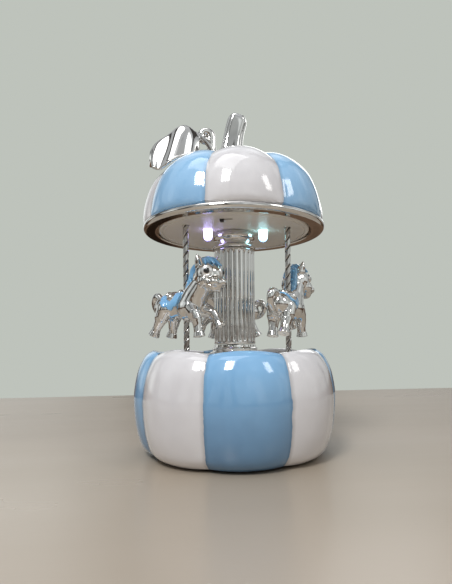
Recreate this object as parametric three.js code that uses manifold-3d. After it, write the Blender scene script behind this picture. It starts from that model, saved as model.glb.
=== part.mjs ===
// A wind-up carousel music box in the shape of a pumpkin.
//
// The lower pumpkin shell holds an eighteen-note movement. Its spring barrel stands on the carousel's
// own axis, so the barrel turns the turntable directly: turntable, fluted column, ceiling and canopy
// go round as one cage, and crown teeth on the barrel drive the pinned cylinder, an idler and a worm
// governor. Three ponies ride on poles that slide through the deck and the ceiling.
//
// Millimetres, +Z up, the origin on the table under the middle of the base. The front is towards -Y.
// Angles round the carousel are measured from the front, positive towards +X.

import * as THREE from "three";
import { mergeVertices } from "three/addons/utils/BufferGeometryUtils.js";
import Module from "manifold-3d";

const wasm = await Module();
wasm.setup();

// ---------------------------------------------------------------- driving dimensions

const GAP = 0.3; // between pieces that seat on each other
const TURN = 2 * Math.PI;
const ROUND = 16; // sides of an ordinary round piece

// lower shell
const BASE_RADIUS = 56; // to the crest of a lobe
const LOBES = 8;
const BASE_LOBE_DEPTH = 2.4;
const BASE_WALL = 3.5;
const FOOT_REACH = 1; // the feet stand out below the shell by this much
const FOOT_RADIUS = 2.6;
const WELL_RADIUS = 41.3; // the round well that the turntable turns in
const DECK_DROP = 2.7; // the deck lies this far below the lobes' crest
const DECK_THICKNESS = 2.5;
const DECK_PLAY = 0.5; // radial gap between the turntable and the well
const LEDGE_THICKNESS = 2.5; // the ledge inside the shell that carries the wave track
const TRACK_FLANGE = 2;
const POLE_FOOT_HEIGHT = 3; // the cap on a pole's lower end

// carousel
const COLUMN_RADIUS = 11.4;
const FLUTES = 24;
const FLUTE_DEPTH = 0.8;
const COLUMN_BORE = 8.5;
const PLINTH_HEIGHT = 5.2;
const CAPITAL_HEIGHT = 9;
const CAGE_HEIGHT = 67.9; // from the deck to the ceiling
const SPINDLE_RADIUS = 2;
const POLE_CIRCLE = 31.3;
const POLE_RADIUS = 1.5;
const POLE_STROKE = 4; // how far a pony rises
const POLE_ANGLES = [-60, 60, 180];
const PONY_HEADINGS = [-36, 57, 176]; // from +X towards +Y
const PONY_LIFT = 9.4; // from the deck to the hooves

// canopy
const CANOPY_RADIUS = 50;
const CANOPY_HEIGHT = 34.8; // from the rim's top to the crest of the dome
const CANOPY_LOBE_DEPTH = 2.2;
const CANOPY_WALL = 3;
const RIM_HEIGHT = 3.1;
const RIM_WIDTH = 7.2;
const CEILING_THICKNESS = 2.3;
const CEILING_PLAY = 1.2; // the dark ring round the ceiling disc
const BOARD_RADIUS = 36;
const BOARD_THICKNESS = 1.4;
const LED_RADIUS = 2.5;
const LED_CIRCLE = 17.4;
const LED_REACH = 6.3; // below the ceiling
const CELL_RADIUS = 10;
const CELL_THICKNESS = 3.2;
const SWITCH_ANGLE = -14;
const SWITCH_CIRCLE = 30;
const SWITCH_TRAVEL = 2;

// bottom cover and key
const COVER_THICKNESS = 2;
const CUP_RADIUS = 17;
const CUP_DEPTH = 10.5; // the recess that the winding key turns in
const KEY_SPAN = 23;
const ARBOR_RADIUS = 1.5;

// movement
const BED_THICKNESS = 2;
const CROWN_MODULE = 0.8;
const CROWN_TEETH = 36;
const CROWN_FACE = 2;
const PINION_TEETH = 9;
const TRAIN_MODULE = 0.5;
const WHEEL_TEETH = 24;
const IDLER_TEETH = 8;
const WORM_WHEEL_TEETH = 20;
const BARREL_RADIUS = 11.5;
const BARREL_HEIGHT = 14;
const DRUM_RADIUS = 6.5;
const DRUM_LENGTH = 17.2;
const PIN_REACH = 0.55;
const NOTES = 18;
const COMB_THICKNESS = 0.8;
const RATCHET_TEETH = 12;
const RATCHET_RADIUS = 5.5;
const RATCHET_THICKNESS = 1.2;
const SHAFT_RADIUS = 0.7;
const WORM_RADIUS = 1.5; // at the pitch line
const WORM_CORE = 1.15;
const FLY_RADIUS = 4.2;
const SCREW_RADIUS = 1;
const SCREW_HEAD_RADIUS = 2;

// ---------------------------------------------------------------- levels worked out from them

const SHELL_BOTTOM = FOOT_REACH;
const COVER_BOTTOM = SHELL_BOTTOM + 0.6;
const COVER_TOP = COVER_BOTTOM + COVER_THICKNESS;
const CUP_TOP = COVER_BOTTOM + CUP_DEPTH;
const BED_BOTTOM = CUP_TOP + 2.9;
const BED_TOP = BED_BOTTOM + BED_THICKNESS;
const RATCHET_BOTTOM = BED_TOP + 0.4;
const BARREL_BOTTOM = RATCHET_BOTTOM + RATCHET_THICKNESS + 0.4;
const CROWN_ROOT = BARREL_BOTTOM + 1;
const PINION_PITCH = (CROWN_MODULE * PINION_TEETH) / 2;
const CROWN_RADIUS = (CROWN_MODULE * CROWN_TEETH) / 2;
const AXIS_Z = CROWN_ROOT + CROWN_MODULE + 0.4 + PINION_PITCH; // the cylinder's axis
const BARREL_TOP = BARREL_BOTTOM + BARREL_HEIGHT;
const DRIVE_SQUARE = 6;
const DRIVE_TOP = BARREL_TOP + 5.8;
const HUB_BOTTOM = BARREL_TOP + 3;
const SOCKET_TOP = DRIVE_TOP + 1.2;

// along the cylinder's axis, which points in +X
const PINION_START = CROWN_RADIUS - CROWN_FACE / 2 - 0.1;
const PINION_END = PINION_START + CROWN_FACE + 0.2;
const INNER_POST = PINION_END + 0.3;
const POST_THICKNESS = 0.9;
const DRUM_START = INNER_POST + POST_THICKNESS + 0.5;
const DRUM_END = DRUM_START + DRUM_LENGTH;
const WHEEL_START = DRUM_END + 1;
const WHEEL_THICKNESS = 1.2;
const BRACKET_INNER = WHEEL_START + WHEEL_THICKNESS + 0.7;
const WORM_WHEEL_START = BRACKET_INNER + POST_THICKNESS + 0.8;
const BRACKET_OUTER = WORM_WHEEL_START + WHEEL_THICKNESS + 0.8;
const BRACKET_END = BRACKET_OUTER + POST_THICKNESS;
const IDLER_Y = (TRAIN_MODULE * (WHEEL_TEETH + IDLER_TEETH)) / 2;
const WORM_WHEEL_PITCH = (TRAIN_MODULE * WORM_WHEEL_TEETH) / 2;
const WORM_X = WORM_WHEEL_START + WHEEL_THICKNESS / 2;
const WORM_Y = IDLER_Y + WORM_WHEEL_PITCH + WORM_RADIUS;
const WORM_PITCH = Math.PI * TRAIN_MODULE;
const WORM_PHASE = 0.25; // brings the thread half a turn past the wheel's middle tooth
const WORM_WHEEL_TIP = WORM_Y - WORM_CORE - 0.2 - IDLER_Y;
const ARM_BOTTOM = AXIS_Z + WORM_WHEEL_TIP + 0.5;
const ARM_THICKNESS = 0.8;
const COMB_TIP = DRUM_RADIUS + PIN_REACH + 0.45;
const FLY_BOTTOM = ARM_BOTTOM + ARM_THICKNESS + 0.3;
const FLY_TOP = FLY_BOTTOM + 2.2;

// upwards from the governor: the shell is as tall as what it holds
const FLY_ROOM = 0.65; // from the fly to the ledge above it
const LEDGE_TOP = FLY_TOP + FLY_ROOM + LEDGE_THICKNESS;
const TRACK_BOTTOM = LEDGE_TOP + GAP;
const TRACK_TOP = TRACK_BOTTOM + TRACK_FLANGE + POLE_STROKE;
const POLE_FOOT_BOTTOM = TRACK_TOP + GAP;
const POLE_FOOT_TOP = POLE_FOOT_BOTTOM + POLE_FOOT_HEIGHT;
const DECK_BOTTOM = POLE_FOOT_TOP + POLE_STROKE + 0.5;
const DECK_TOP = DECK_BOTTOM + DECK_THICKNESS;
const SHELL_TOP = DECK_TOP + DECK_DROP;
const BASE_HEIGHT = SHELL_TOP - SHELL_BOTTOM;
const CEILING_BOTTOM = DECK_TOP + CAGE_HEIGHT;
const CEILING_TOP = CEILING_BOTTOM + CEILING_THICKNESS;
const RIM_BOTTOM = CEILING_BOTTOM - 0.4;
const RIM_TOP = RIM_BOTTOM + RIM_HEIGHT;
const CANOPY_BOTTOM = RIM_TOP + GAP;
const BOARD_BOTTOM = CEILING_TOP + GAP;
const BOARD_TOP = BOARD_BOTTOM + BOARD_THICKNESS;

// ---------------------------------------------------------------- colours

const finish = (color, roughness, metalness = 0) =>
  new THREE.MeshStandardMaterial({ color, roughness, metalness });
const WHITE = finish(0xece8e6, 0.2);
const CREAM = finish(0xe2d8cc, 0.45);
const BLUE = finish(0x7fb9ea, 0.25);
const PLATED = finish(0xc9c6c2, 0.12, 1);
const STEEL = finish(0xa7a8aa, 0.35, 1);
const BRASS = finish(0xc9a24f, 0.35, 1);
const RUBBER = finish(0x25262a, 0.8);
const BLACK = finish(0x1b1b1f, 0.5);
const BOARD_GREEN = finish(0x1f6b45, 0.5);
const LENS = finish(0xdfe8ff, 0.1);

// ---------------------------------------------------------------- solids

// A closed geometry as a solid that can be joined and cut.
function solid(geometry) {
  const bare = geometry.index ? geometry.toNonIndexed() : geometry.clone();
  for (const name of Object.keys(bare.attributes)) if (name !== "position") bare.deleteAttribute(name);
  const merged = mergeVertices(bare, 1e-4);
  return new wasm.Manifold(
    new wasm.Mesh({
      numProp: 3,
      vertProperties: merged.attributes.position.array,
      triVerts: new Uint32Array(merged.index.array),
    }),
  );
}

function geometryOf(made) {
  const mesh = made.getMesh();
  const geometry = new THREE.BufferGeometry();
  geometry.setAttribute("position", new THREE.BufferAttribute(mesh.vertProperties, 3));
  geometry.setIndex(new THREE.BufferAttribute(mesh.triVerts, 1));
  const flat = geometry.toNonIndexed();
  flat.computeVertexNormals();
  return flat;
}

const join = (first, ...others) => others.reduce((all, next) => all.add(next), first);
const cut = (first, ...others) => others.reduce((all, next) => all.subtract(next), first);

const radians = (degrees) => THREE.MathUtils.degToRad(degrees);

// A round bar along Z; top is its radius at the upper end.
function rod(radius, low, high, { x = 0, y = 0, sides = ROUND, top = radius } = {}) {
  const shape = new THREE.CylinderGeometry(top, radius, high - low, sides);
  return solid(shape.rotateX(Math.PI / 2).translate(x, y, (low + high) / 2));
}

// A round bar along X.
function axle(radius, start, end, { y = 0, z = 0, sides = 16 } = {}) {
  const shape = new THREE.CylinderGeometry(radius, radius, end - start, sides);
  return solid(shape.rotateZ(-Math.PI / 2).translate((start + end) / 2, y, z));
}

function block(x0, x1, y0, y1, z0, z1) {
  const shape = new THREE.BoxGeometry(x1 - x0, y1 - y0, z1 - z0);
  return solid(shape.translate((x0 + x1) / 2, (y0 + y1) / 2, (z0 + z1) / 2));
}

// A profile of [radius, height] points turned about Z. It starts and ends on the axis, or closes.
function turned(profile, sides = ROUND) {
  const points = profile.map(([r, z]) => new THREE.Vector2(r, z));
  return solid(new THREE.LatheGeometry(points, sides).rotateX(Math.PI / 2));
}

const ring = (inner, outer, low, high, sides = ROUND) =>
  turned([[inner, low], [outer, low], [outer, high], [inner, high], [inner, low]], sides);

// An outline of [x, y] points raised from low to high.
function plate(outline, low, high) {
  const shape = new THREE.Shape(outline.map(([x, y]) => new THREE.Vector2(x, y)));
  const raised = new THREE.ExtrudeGeometry(shape, { depth: high - low, bevelEnabled: false });
  return solid(raised.translate(0, 0, low));
}

// A round wire of the given radius along a curve of points.
function wire(points, radius, sides = 8, steps = 3 * points.length) {
  const section = new THREE.Shape();
  for (let k = 0; k < sides; k++) {
    const a = (k / sides) * TURN;
    if (k) section.lineTo(radius * Math.cos(a), radius * Math.sin(a));
    else section.moveTo(radius, 0);
  }
  const extrudePath = new THREE.CatmullRomCurve3(points.map((p) => new THREE.Vector3(...p)));
  return solid(new THREE.ExtrudeGeometry(section, { steps, extrudePath, bevelEnabled: false }));
}

const onCircle = (radius, degrees) => {
  const a = radians(degrees);
  return [radius * Math.sin(a), -radius * Math.cos(a)];
};

const group = new THREE.Group();

function add(name, made, material, parent = group) {
  const mesh = new THREE.Mesh(geometryOf(made), material);
  mesh.name = name;
  parent.add(mesh);
  return mesh;
}

// ---------------------------------------------------------------- pumpkin lobes

// Pushes the points of a turned profile inwards along the profile's normal, most at the creases
// between lobes, so that the lobes stand proud. Points with a depth share of 0 stay round.
function lobed(profile, depth, sides) {
  const points = profile.map(([r, z]) => new THREE.Vector2(r, z));
  const geometry = new THREE.LatheGeometry(points, sides);
  const position = geometry.getAttribute("position");
  const count = profile.length;
  for (let i = 0; i < position.count; i++) {
    const row = i % count;
    const [before, after] = [profile[Math.max(0, row - 1)], profile[Math.min(count - 1, row + 1)]];
    const along = new THREE.Vector2(after[0] - before[0], after[1] - before[1]).normalize();
    if (profile[row][1] === profile[0][1]) along.set(0, 1); // the underside stays flat
    const share = profile[row][2] ?? 1;
    const angle = Math.atan2(position.getX(i), position.getZ(i));
    const fromCrest = Math.abs(((((angle / TURN) * LOBES) % 1) + 1.5) % 1 - 0.5) * 2;
    const push = share * depth * fromCrest ** 2;
    const radius = profile[row][0] - push * along.y;
    const height = profile[row][1] + push * along.x;
    const flat = Math.hypot(position.getX(i), position.getZ(i)) || 1;
    const scale = profile[row][0] === 0 ? 0 : radius / flat;
    position.setXYZ(i, position.getX(i) * scale, height, position.getZ(i) * scale);
  }
  return solid(geometry.rotateX(Math.PI / 2));
}

const LOBE_STEPS = 4;

function baseShell() {
  const at = (r, h) => [r * BASE_RADIUS, SHELL_BOTTOM + h * BASE_HEIGHT];
  const lip = WELL_RADIUS;
  const outside = lobed(
    [
      [0, SHELL_BOTTOM, 0],
      [...at(0.84, 0), 0.4],
      [...at(0.897, 0.04), 0.7],
      [...at(0.94, 0.11), 0.9],
      at(0.979, 0.255),
      at(1, 0.44),
      at(0.995, 0.6),
      at(0.963, 0.78),
      [...at(0.92, 0.89), 1],
      [...at(0.875, 0.96), 1],
      [...at(0.82, 1), 0.9],
      [lip + 1.6, SHELL_TOP - 0.3, 0.5],
      [lip, SHELL_TOP - 1.5, 0],
      [0, SHELL_TOP - 1.5, 0],
    ],
    BASE_LOBE_DEPTH,
    LOBES * LOBE_STEPS,
  );
  const inside = BASE_RADIUS - BASE_LOBE_DEPTH - BASE_WALL;
  const seat = 0.84 * BASE_RADIUS - 3;
  const ledge = LEDGE_TOP - LEDGE_THICKNESS;
  const hollow = turned(
    [
      [0, 0],
      [seat, 0],
      [seat, COVER_TOP + GAP],
      [seat - 4, COVER_TOP + GAP],
      [seat - 4, COVER_TOP + 3],
      [inside - 2, COVER_TOP + 6],
      [inside, COVER_TOP + 12],
      [inside, ledge],
      [WELL_RADIUS - 2.3, ledge],
      [WELL_RADIUS - 2.3, LEDGE_TOP],
      [WELL_RADIUS, LEDGE_TOP],
      [WELL_RADIUS, SHELL_TOP + 1],
      [0, SHELL_TOP + 1],
    ],
    2 * ROUND,
  );
  const holes = coverScrews().map(([x, y]) =>
    rod(SCREW_RADIUS + GAP, COVER_BOTTOM, COVER_TOP + 6, { x, y, sides: 10 }),
  );
  return cut(outside, hollow, ...holes);
}

// ---------------------------------------------------------------- bottom cover, feet and screws

const COVER_RADIUS = 0.84 * BASE_RADIUS - 3 - GAP;
const coverScrews = () => [90, 270].map((a) => onCircle(COVER_RADIUS - 1.8, a));
const POSTS = [[-CUP_RADIUS - 4.5, 0], [CUP_RADIUS + 7, 14.5]]; // the movement stands on these

function bottomCover() {
  const roof = CUP_TOP - COVER_THICKNESS;
  const pan = turned(
    [
      [CUP_RADIUS, COVER_BOTTOM],
      [COVER_RADIUS, COVER_BOTTOM],
      [COVER_RADIUS, COVER_TOP],
      [CUP_RADIUS + COVER_THICKNESS, COVER_TOP],
      [CUP_RADIUS + COVER_THICKNESS, CUP_TOP],
      [ARBOR_RADIUS + 0.5, CUP_TOP],
      [ARBOR_RADIUS + 0.5, roof],
      [CUP_RADIUS, roof],
      [CUP_RADIUS, COVER_BOTTOM],
    ],
    2 * ROUND,
  );
  const posts = POSTS.map(([x, y]) => rod(3, COVER_BOTTOM + 1, BED_BOTTOM - GAP, { x, y, sides: 12 }));
  const cup = rod(CUP_RADIUS, 0, roof, { sides: 2 * ROUND });
  const bores = POSTS.map(([x, y]) =>
    rod(SCREW_RADIUS + GAP, BED_BOTTOM - 6, BED_TOP, { x, y, sides: 10 }),
  );
  const holes = coverScrews().flatMap(([x, y]) => [
    rod(SCREW_RADIUS + GAP, 0, COVER_TOP + 1, { x, y, sides: 10 }),
  ]);
  return cut(join(pan, ...posts), cup, ...bores, ...holes);
}

// A screw that points up or down: its head starts at seat and its shank runs on the other side.
function screw(x, y, seat, length, up, radius = SCREW_RADIUS, head = SCREW_HEAD_RADIUS) {
  const tall = 0.7 * head;
  const way = up ? 1 : -1;
  const span = (a, b) => [Math.min(a, b), Math.max(a, b)];
  const shank = rod(radius, ...span(seat - way * 0.2, seat + way * length), { x, y, sides: 8 });
  const cap = rod(head, ...span(seat - way * tall, seat), { x, y, sides: 10 });
  const slot = block(
    x - head - 1, x + head + 1, y - 0.3, y + 0.3,
    ...span(seat - way * tall - way, seat - way * tall * 0.5),
  );
  return cut(join(cap, shank), slot);
}

function addBase() {
  add("base_shell", baseShell(), WHITE);
  add("bottom_cover", bottomCover(), BLACK);
  [60, 180, 300].forEach((a, i) => {
    const [x, y] = onCircle(COVER_RADIUS - FOOT_RADIUS - 2.4, a);
    const pad = rod(FOOT_RADIUS, 0, COVER_BOTTOM - GAP, { x, y });
    add(`foot_${i + 1}`, pad, RUBBER);
  });
  coverScrews().forEach(([x, y], i) => {
    const made = screw(x, y, COVER_BOTTOM - 0.1, 6, true, SCREW_RADIUS, 1.4);
    add(`cover_screw_${i + 1}`, made, STEEL);
  });
}

// ---------------------------------------------------------------- gears

// Straight-flanked teeth round the origin, thin enough to run with backlash. The first tooth is
// centred on the angle given by start.
function gearOutline(teeth, module, { add: tip = 0.8, dip = 1.3, start = 0 } = {}) {
  const pitch = (module * teeth) / 2;
  const half = (0.22 * module * Math.PI) / 2;
  const outline = [];
  for (let k = 0; k < teeth; k++) {
    const a = start + (k / teeth) * TURN;
    for (const [r, t] of [
      [pitch - dip * module, -pitch * (Math.PI / teeth)],
      [pitch + tip * module, -0.8 * half],
      [pitch + tip * module, 0.8 * half],
    ])
      outline.push([r * Math.cos(a + t / pitch), r * Math.sin(a + t / pitch)]);
  }
  return outline;
}

// A spur gear on an axle along X: its outline's x axis points to +Y and its y axis to +Z.
function gearOnX(outline, from, to, y, z) {
  const shape = new THREE.Shape(outline.map(([a, b]) => new THREE.Vector2(a, b)));
  const raised = new THREE.ExtrudeGeometry(shape, { depth: to - from, bevelEnabled: false });
  const turn = new THREE.Matrix4().makeBasis(
    new THREE.Vector3(0, 1, 0),
    new THREE.Vector3(0, 0, 1),
    new THREE.Vector3(1, 0, 0),
  );
  return solid(raised.applyMatrix4(turn).translate(from, y, z));
}

function springBarrel() {
  const wall = 0.9;
  const cupped = turned(
    [
      [ARBOR_RADIUS + 0.5, BARREL_BOTTOM],
      [CROWN_RADIUS + CROWN_FACE / 2, BARREL_BOTTOM],
      [CROWN_RADIUS + CROWN_FACE / 2, CROWN_ROOT],
      [BARREL_RADIUS, CROWN_ROOT],
      [BARREL_RADIUS, BARREL_TOP],
      [BARREL_RADIUS - wall, BARREL_TOP],
      [BARREL_RADIUS - wall, CROWN_ROOT + 0.2],
      [ARBOR_RADIUS + 0.5, CROWN_ROOT + 0.2],
      [ARBOR_RADIUS + 0.5, BARREL_BOTTOM],
    ],
    2 * ROUND,
  );
  const [tall, sunk] = [1.25, 0.3];
  const width = CROWN_FACE - 0.4;
  const teeth = [];
  for (let k = 0; k < CROWN_TEETH; k++) {
    const tooth = new THREE.BoxGeometry(width, 0.8, tall + sunk);
    const position = tooth.getAttribute("position");
    for (let i = 0; i < position.count; i++)
      if (position.getZ(i) > 0) position.setY(i, 0.7 * position.getY(i));
    tooth.translate(CROWN_RADIUS, 0, CROWN_ROOT + (tall - sunk) / 2);
    teeth.push(solid(tooth.rotateZ(((k + 0.5) / CROWN_TEETH) * TURN)));
  }
  return join(cupped, ...teeth);
}

function barrelLid() {
  const disc = rod(BARREL_RADIUS - 0.9 - GAP, BARREL_TOP - 1.4, BARREL_TOP + 0.2);
  const half = DRIVE_SQUARE / 2;
  return join(disc, block(-half, half, -half, half, BARREL_TOP, DRIVE_TOP));
}

// The mainspring: a flat strip wound from the arbor out to the barrel's wall.
function mainspring() {
  const [inner, outer, turns, thick] = [ARBOR_RADIUS + 1, BARREL_RADIUS - 1.6, 4, 0.4];
  const steps = 9 * turns;
  const at = (k, side) => {
    const r = inner + ((outer - inner) * k) / steps + side * (thick / 2);
    const a = (k / 9) * TURN;
    return [r * Math.cos(a), r * Math.sin(a)];
  };
  const outline = [];
  for (let k = 0; k <= steps; k++) outline.push(at(k, 1));
  for (let k = steps; k >= 0; k--) outline.push(at(k, -1));
  return plate(outline, CROWN_ROOT + 0.6, BARREL_TOP - 2);
}

// ---------------------------------------------------------------- key, arbor, ratchet and click

function windingKey() {
  const bottom = SHELL_BOTTOM + 1.4;
  const top = CUP_TOP - COVER_THICKNESS - 0.6;
  const hub = rod(3.1, bottom + 2, top, { sides: 12 });
  const reach = KEY_SPAN / 2;
  const upright = (across, tall, x, thick) =>
    solid(new THREE.CylinderGeometry(1, 1, thick, 12).scale(across, 1, tall).translate(x, 0, bottom + 3.1));
  const wings = [-1, 1].map((side) => upright(reach * 0.55, 3.1, side * reach * 0.45, 1.6));
  const eyes = [-1, 1].map((side) => upright(1.4, 1.4, side * reach * 0.62, 4));
  const bore = rod(ARBOR_RADIUS + GAP, bottom + 3.4, CUP_TOP, { sides: 12 });
  return cut(join(hub, ...wings), bore, ...eyes);
}

function ratchetWheel() {
  const outline = [];
  for (let k = 0; k < RATCHET_TEETH; k++) {
    const a = radians(93.5) + (k / RATCHET_TEETH) * TURN;
    outline.push([RATCHET_RADIUS * Math.cos(a), RATCHET_RADIUS * Math.sin(a)]);
    const root = RATCHET_RADIUS - 1;
    outline.push([root * Math.cos(a + 0.02), root * Math.sin(a + 0.02)]);
  }
  const wheel = plate(outline, RATCHET_BOTTOM, RATCHET_BOTTOM + RATCHET_THICKNESS);
  return cut(wheel, rod(ARBOR_RADIUS + GAP, 0, BARREL_TOP, { sides: 14 }));
}

// The click's nose rests in the gap beside one tooth; its stud is outside the barrel's flange.
const CLICK_STUD = 1;
const CLICK_PIVOT = [-CROWN_RADIUS - 0.6, 12];
const CLICK_TOP = RATCHET_BOTTOM + RATCHET_THICKNESS;

function clickPawl() {
  const [x, y] = CLICK_PIVOT;
  const near = RATCHET_RADIUS;
  const outline = [
    [-0.75, near - 0.5], [-0.75, near + 0.8], [-2.5, near + 2.1], [x + 0.2, y + 2.2], [x - 2.1, y + 0.4],
    [x - 0.9, y - 2.1], [x + 1.6, y - 2.4], [-3.2, near + 0.3], [-1.3, near - 0.4],
  ];
  const bar = plate(outline.reverse(), RATCHET_BOTTOM, CLICK_TOP);
  return cut(bar, rod(CLICK_STUD + GAP, 0, BARREL_TOP, { x, y, sides: 12 }));
}

function addWinding() {
  add("winding_key", windingKey(), STEEL);
  const foot = SHELL_BOTTOM + 1.4 + 3.4 + GAP;
  add("winding_arbor", rod(ARBOR_RADIUS, foot, BARREL_TOP - 1.8, { sides: 12 }), STEEL);
  add("ratchet_wheel", ratchetWheel(), BRASS);
  add("click_pawl", clickPawl(), STEEL);
  const [x, y] = CLICK_PIVOT;
  const coil = ring(CLICK_STUD + GAP, CLICK_STUD + 0.8, CLICK_TOP + GAP, CLICK_TOP + 1.3, 12);
  add("click_spring", coil.translate([x, y, 0]), STEEL);
}

// ---------------------------------------------------------------- movement

const COMB_BACK = COMB_TIP + 18.5;
const combScrews = () =>
  [0.2, 0.8].map((share) => [DRUM_START + share * DRUM_LENGTH, -(COMB_BACK - 3.6)]);

function bedplate() {
  const right = BRACKET_END + 1.2;
  const left = -CUP_RADIUS - 8;
  const outline = [
    [left, -6], [-12, -COMB_BACK - 1], [DRUM_END - 1.5, -COMB_BACK - 1], [right - 2, -12],
    [right, 2], [right, 14], [right - 4, 19.5], [-16, 19.5], [left, 8],
  ];
  const bed = plate(outline, BED_BOTTOM, BED_TOP);
  const anvil = block(
    DRUM_START - 0.5, DRUM_END + 0.5, -COMB_BACK, -COMB_BACK + 7.2,
    BED_TOP - 0.5, AXIS_Z - COMB_THICKNESS / 2 - GAP,
  );
  const post = block(INNER_POST, INNER_POST + POST_THICKNESS, -3, 3, BED_TOP - 0.5, AXIS_Z + 3);
  const [x, y] = CLICK_PIVOT;
  const stud = rod(CLICK_STUD, BED_TOP - 0.5, CLICK_TOP + 1.6, { x, y, sides: 12 });
  const hole = (radius, at) => rod(radius + GAP, 0, BED_TOP + 1, { x: at[0], y: at[1], sides: 10 });
  const tapped = combScrews().map((at) =>
    rod(SCREW_RADIUS + GAP, BED_TOP + 1, AXIS_Z, { x: at[0], y: at[1], sides: 10 }));
  return cut(
    join(bed, anvil, post, stud),
    hole(ARBOR_RADIUS + 0.2, [0, 0]),
    axle(1 + GAP, INNER_POST - 1, INNER_POST + POST_THICKNESS + 1, { z: AXIS_Z, sides: 12 }),
    hole(SHAFT_RADIUS, [WORM_X, WORM_Y]),
    hole(RIVET_RADIUS, [WORM_X, RIVET_Y]),
    ...POSTS.map((at) => hole(SCREW_RADIUS, at)),
    ...tapped,
  );
}

const RIVET_RADIUS = 0.8;
const RIVET_Y = -1.6;

// Eighteen teeth, cut deeper towards the bass end, in one steel plate.
function comb() {
  const [left, right] = [DRUM_START, DRUM_END];
  const pitch = (right - left) / NOTES;
  const outline = [[left, -COMB_BACK], [right, -COMB_BACK], [right, -COMB_TIP]];
  for (let k = NOTES - 1; k > 0; k--) {
    const x = left + k * pitch;
    const deep = -COMB_TIP - 8 - (4 * k) / NOTES;
    outline.push([x + 0.14, -COMB_TIP], [x + 0.14, deep], [x - 0.14, deep], [x - 0.14, -COMB_TIP]);
  }
  outline.push([left, -COMB_TIP]);
  const steel = plate(outline, AXIS_Z - COMB_THICKNESS / 2, AXIS_Z + COMB_THICKNESS / 2);
  return cut(steel, ...combScrews().map(([x, y]) =>
    rod(SCREW_RADIUS + GAP, 0, AXIS_Z + 5, { x, y, sides: 10 })));
}

// The pinned cylinder: a pin to a note, set round it in an even scatter.
function pinnedDrum() {
  const drum = axle(DRUM_RADIUS, DRUM_START, DRUM_END, { z: AXIS_Z, sides: ROUND });
  const bore = axle(1 + GAP, DRUM_START - 1, DRUM_END + 1, { z: AXIS_Z });
  const pins = [];
  for (let k = 0; k < NOTES; k++) {
    const pin = new THREE.CylinderGeometry(0.16, 0.26, PIN_REACH + 0.5, 4);
    pin.translate(0, DRUM_RADIUS + (PIN_REACH - 0.5) / 2, 0).rotateX(k * radians(137.5));
    pins.push(solid(pin.translate(DRUM_START + ((k % NOTES) + 0.5) * (DRUM_LENGTH / NOTES), 0, AXIS_Z)));
  }
  return cut(join(drum, ...pins), bore);
}

// The cage that carries the governor: two walls, an arm over the worm and a rivet into the bed.
function governorBracket() {
  const low = BED_TOP + GAP;
  const top = ARM_BOTTOM + ARM_THICKNESS;
  const frame = join(
    block(BRACKET_INNER, BRACKET_END, -3.6, WORM_Y + 2.6, low, low + 1.2),
    block(BRACKET_INNER, BRACKET_INNER + POST_THICKNESS, -3.6, WORM_Y - 2.3, low, top),
    block(BRACKET_OUTER, BRACKET_END, 3.6, WORM_Y - 2.3, low, top),
    block(BRACKET_INNER, BRACKET_END, WORM_Y - 4.6, WORM_Y + 2.4, ARM_BOTTOM, top),
    rod(RIVET_RADIUS, BED_BOTTOM + 0.4, low + 0.5, { x: WORM_X, y: RIVET_Y, sides: 10 }),
  );
  return cut(
    frame,
    axle(1 + GAP, BRACKET_INNER - 1, BRACKET_INNER + 2, { z: AXIS_Z, sides: 12 }),
    axle(SHAFT_RADIUS + GAP, BRACKET_INNER - 1, BRACKET_END + 1, { y: IDLER_Y, z: AXIS_Z, sides: 10 }),
    rod(SHAFT_RADIUS + GAP, 0, top + 1, { x: WORM_X, y: WORM_Y, sides: 10 }),
  );
}

// A single-start right-hand worm and a two-winged fly on one spindle.
function governor() {
  const place = { x: WORM_X, y: WORM_Y, sides: 10 };
  const [turns, steps] = [3, 8];
  const start = AXIS_Z - (turns / 2) * WORM_PITCH;
  const path = [];
  for (let k = 0; k <= turns * steps; k++) {
    const a = (k / steps) * TURN; // the tooth at mid-height lies between two turns
    const r = WORM_RADIUS - 0.08;
    path.push([
      WORM_X + r * Math.cos(a), WORM_Y + r * Math.sin(a), start + (k / steps + WORM_PHASE) * WORM_PITCH,
    ]);
  }
  const wing = block(
    WORM_X - FLY_RADIUS, WORM_X + FLY_RADIUS, WORM_Y - 0.35, WORM_Y + 0.35, FLY_BOTTOM, FLY_TOP);
  return join(
    rod(WORM_CORE, start - 0.8, AXIS_Z + (turns / 2) * WORM_PITCH + 1, place),
    wire(path, 0.36, 5, turns * steps),
    rod(SHAFT_RADIUS, BED_BOTTOM + 0.5, FLY_TOP + 0.3, place),
    rod(1.5, FLY_BOTTOM, FLY_TOP, place),
    wing,
  );
}

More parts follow.
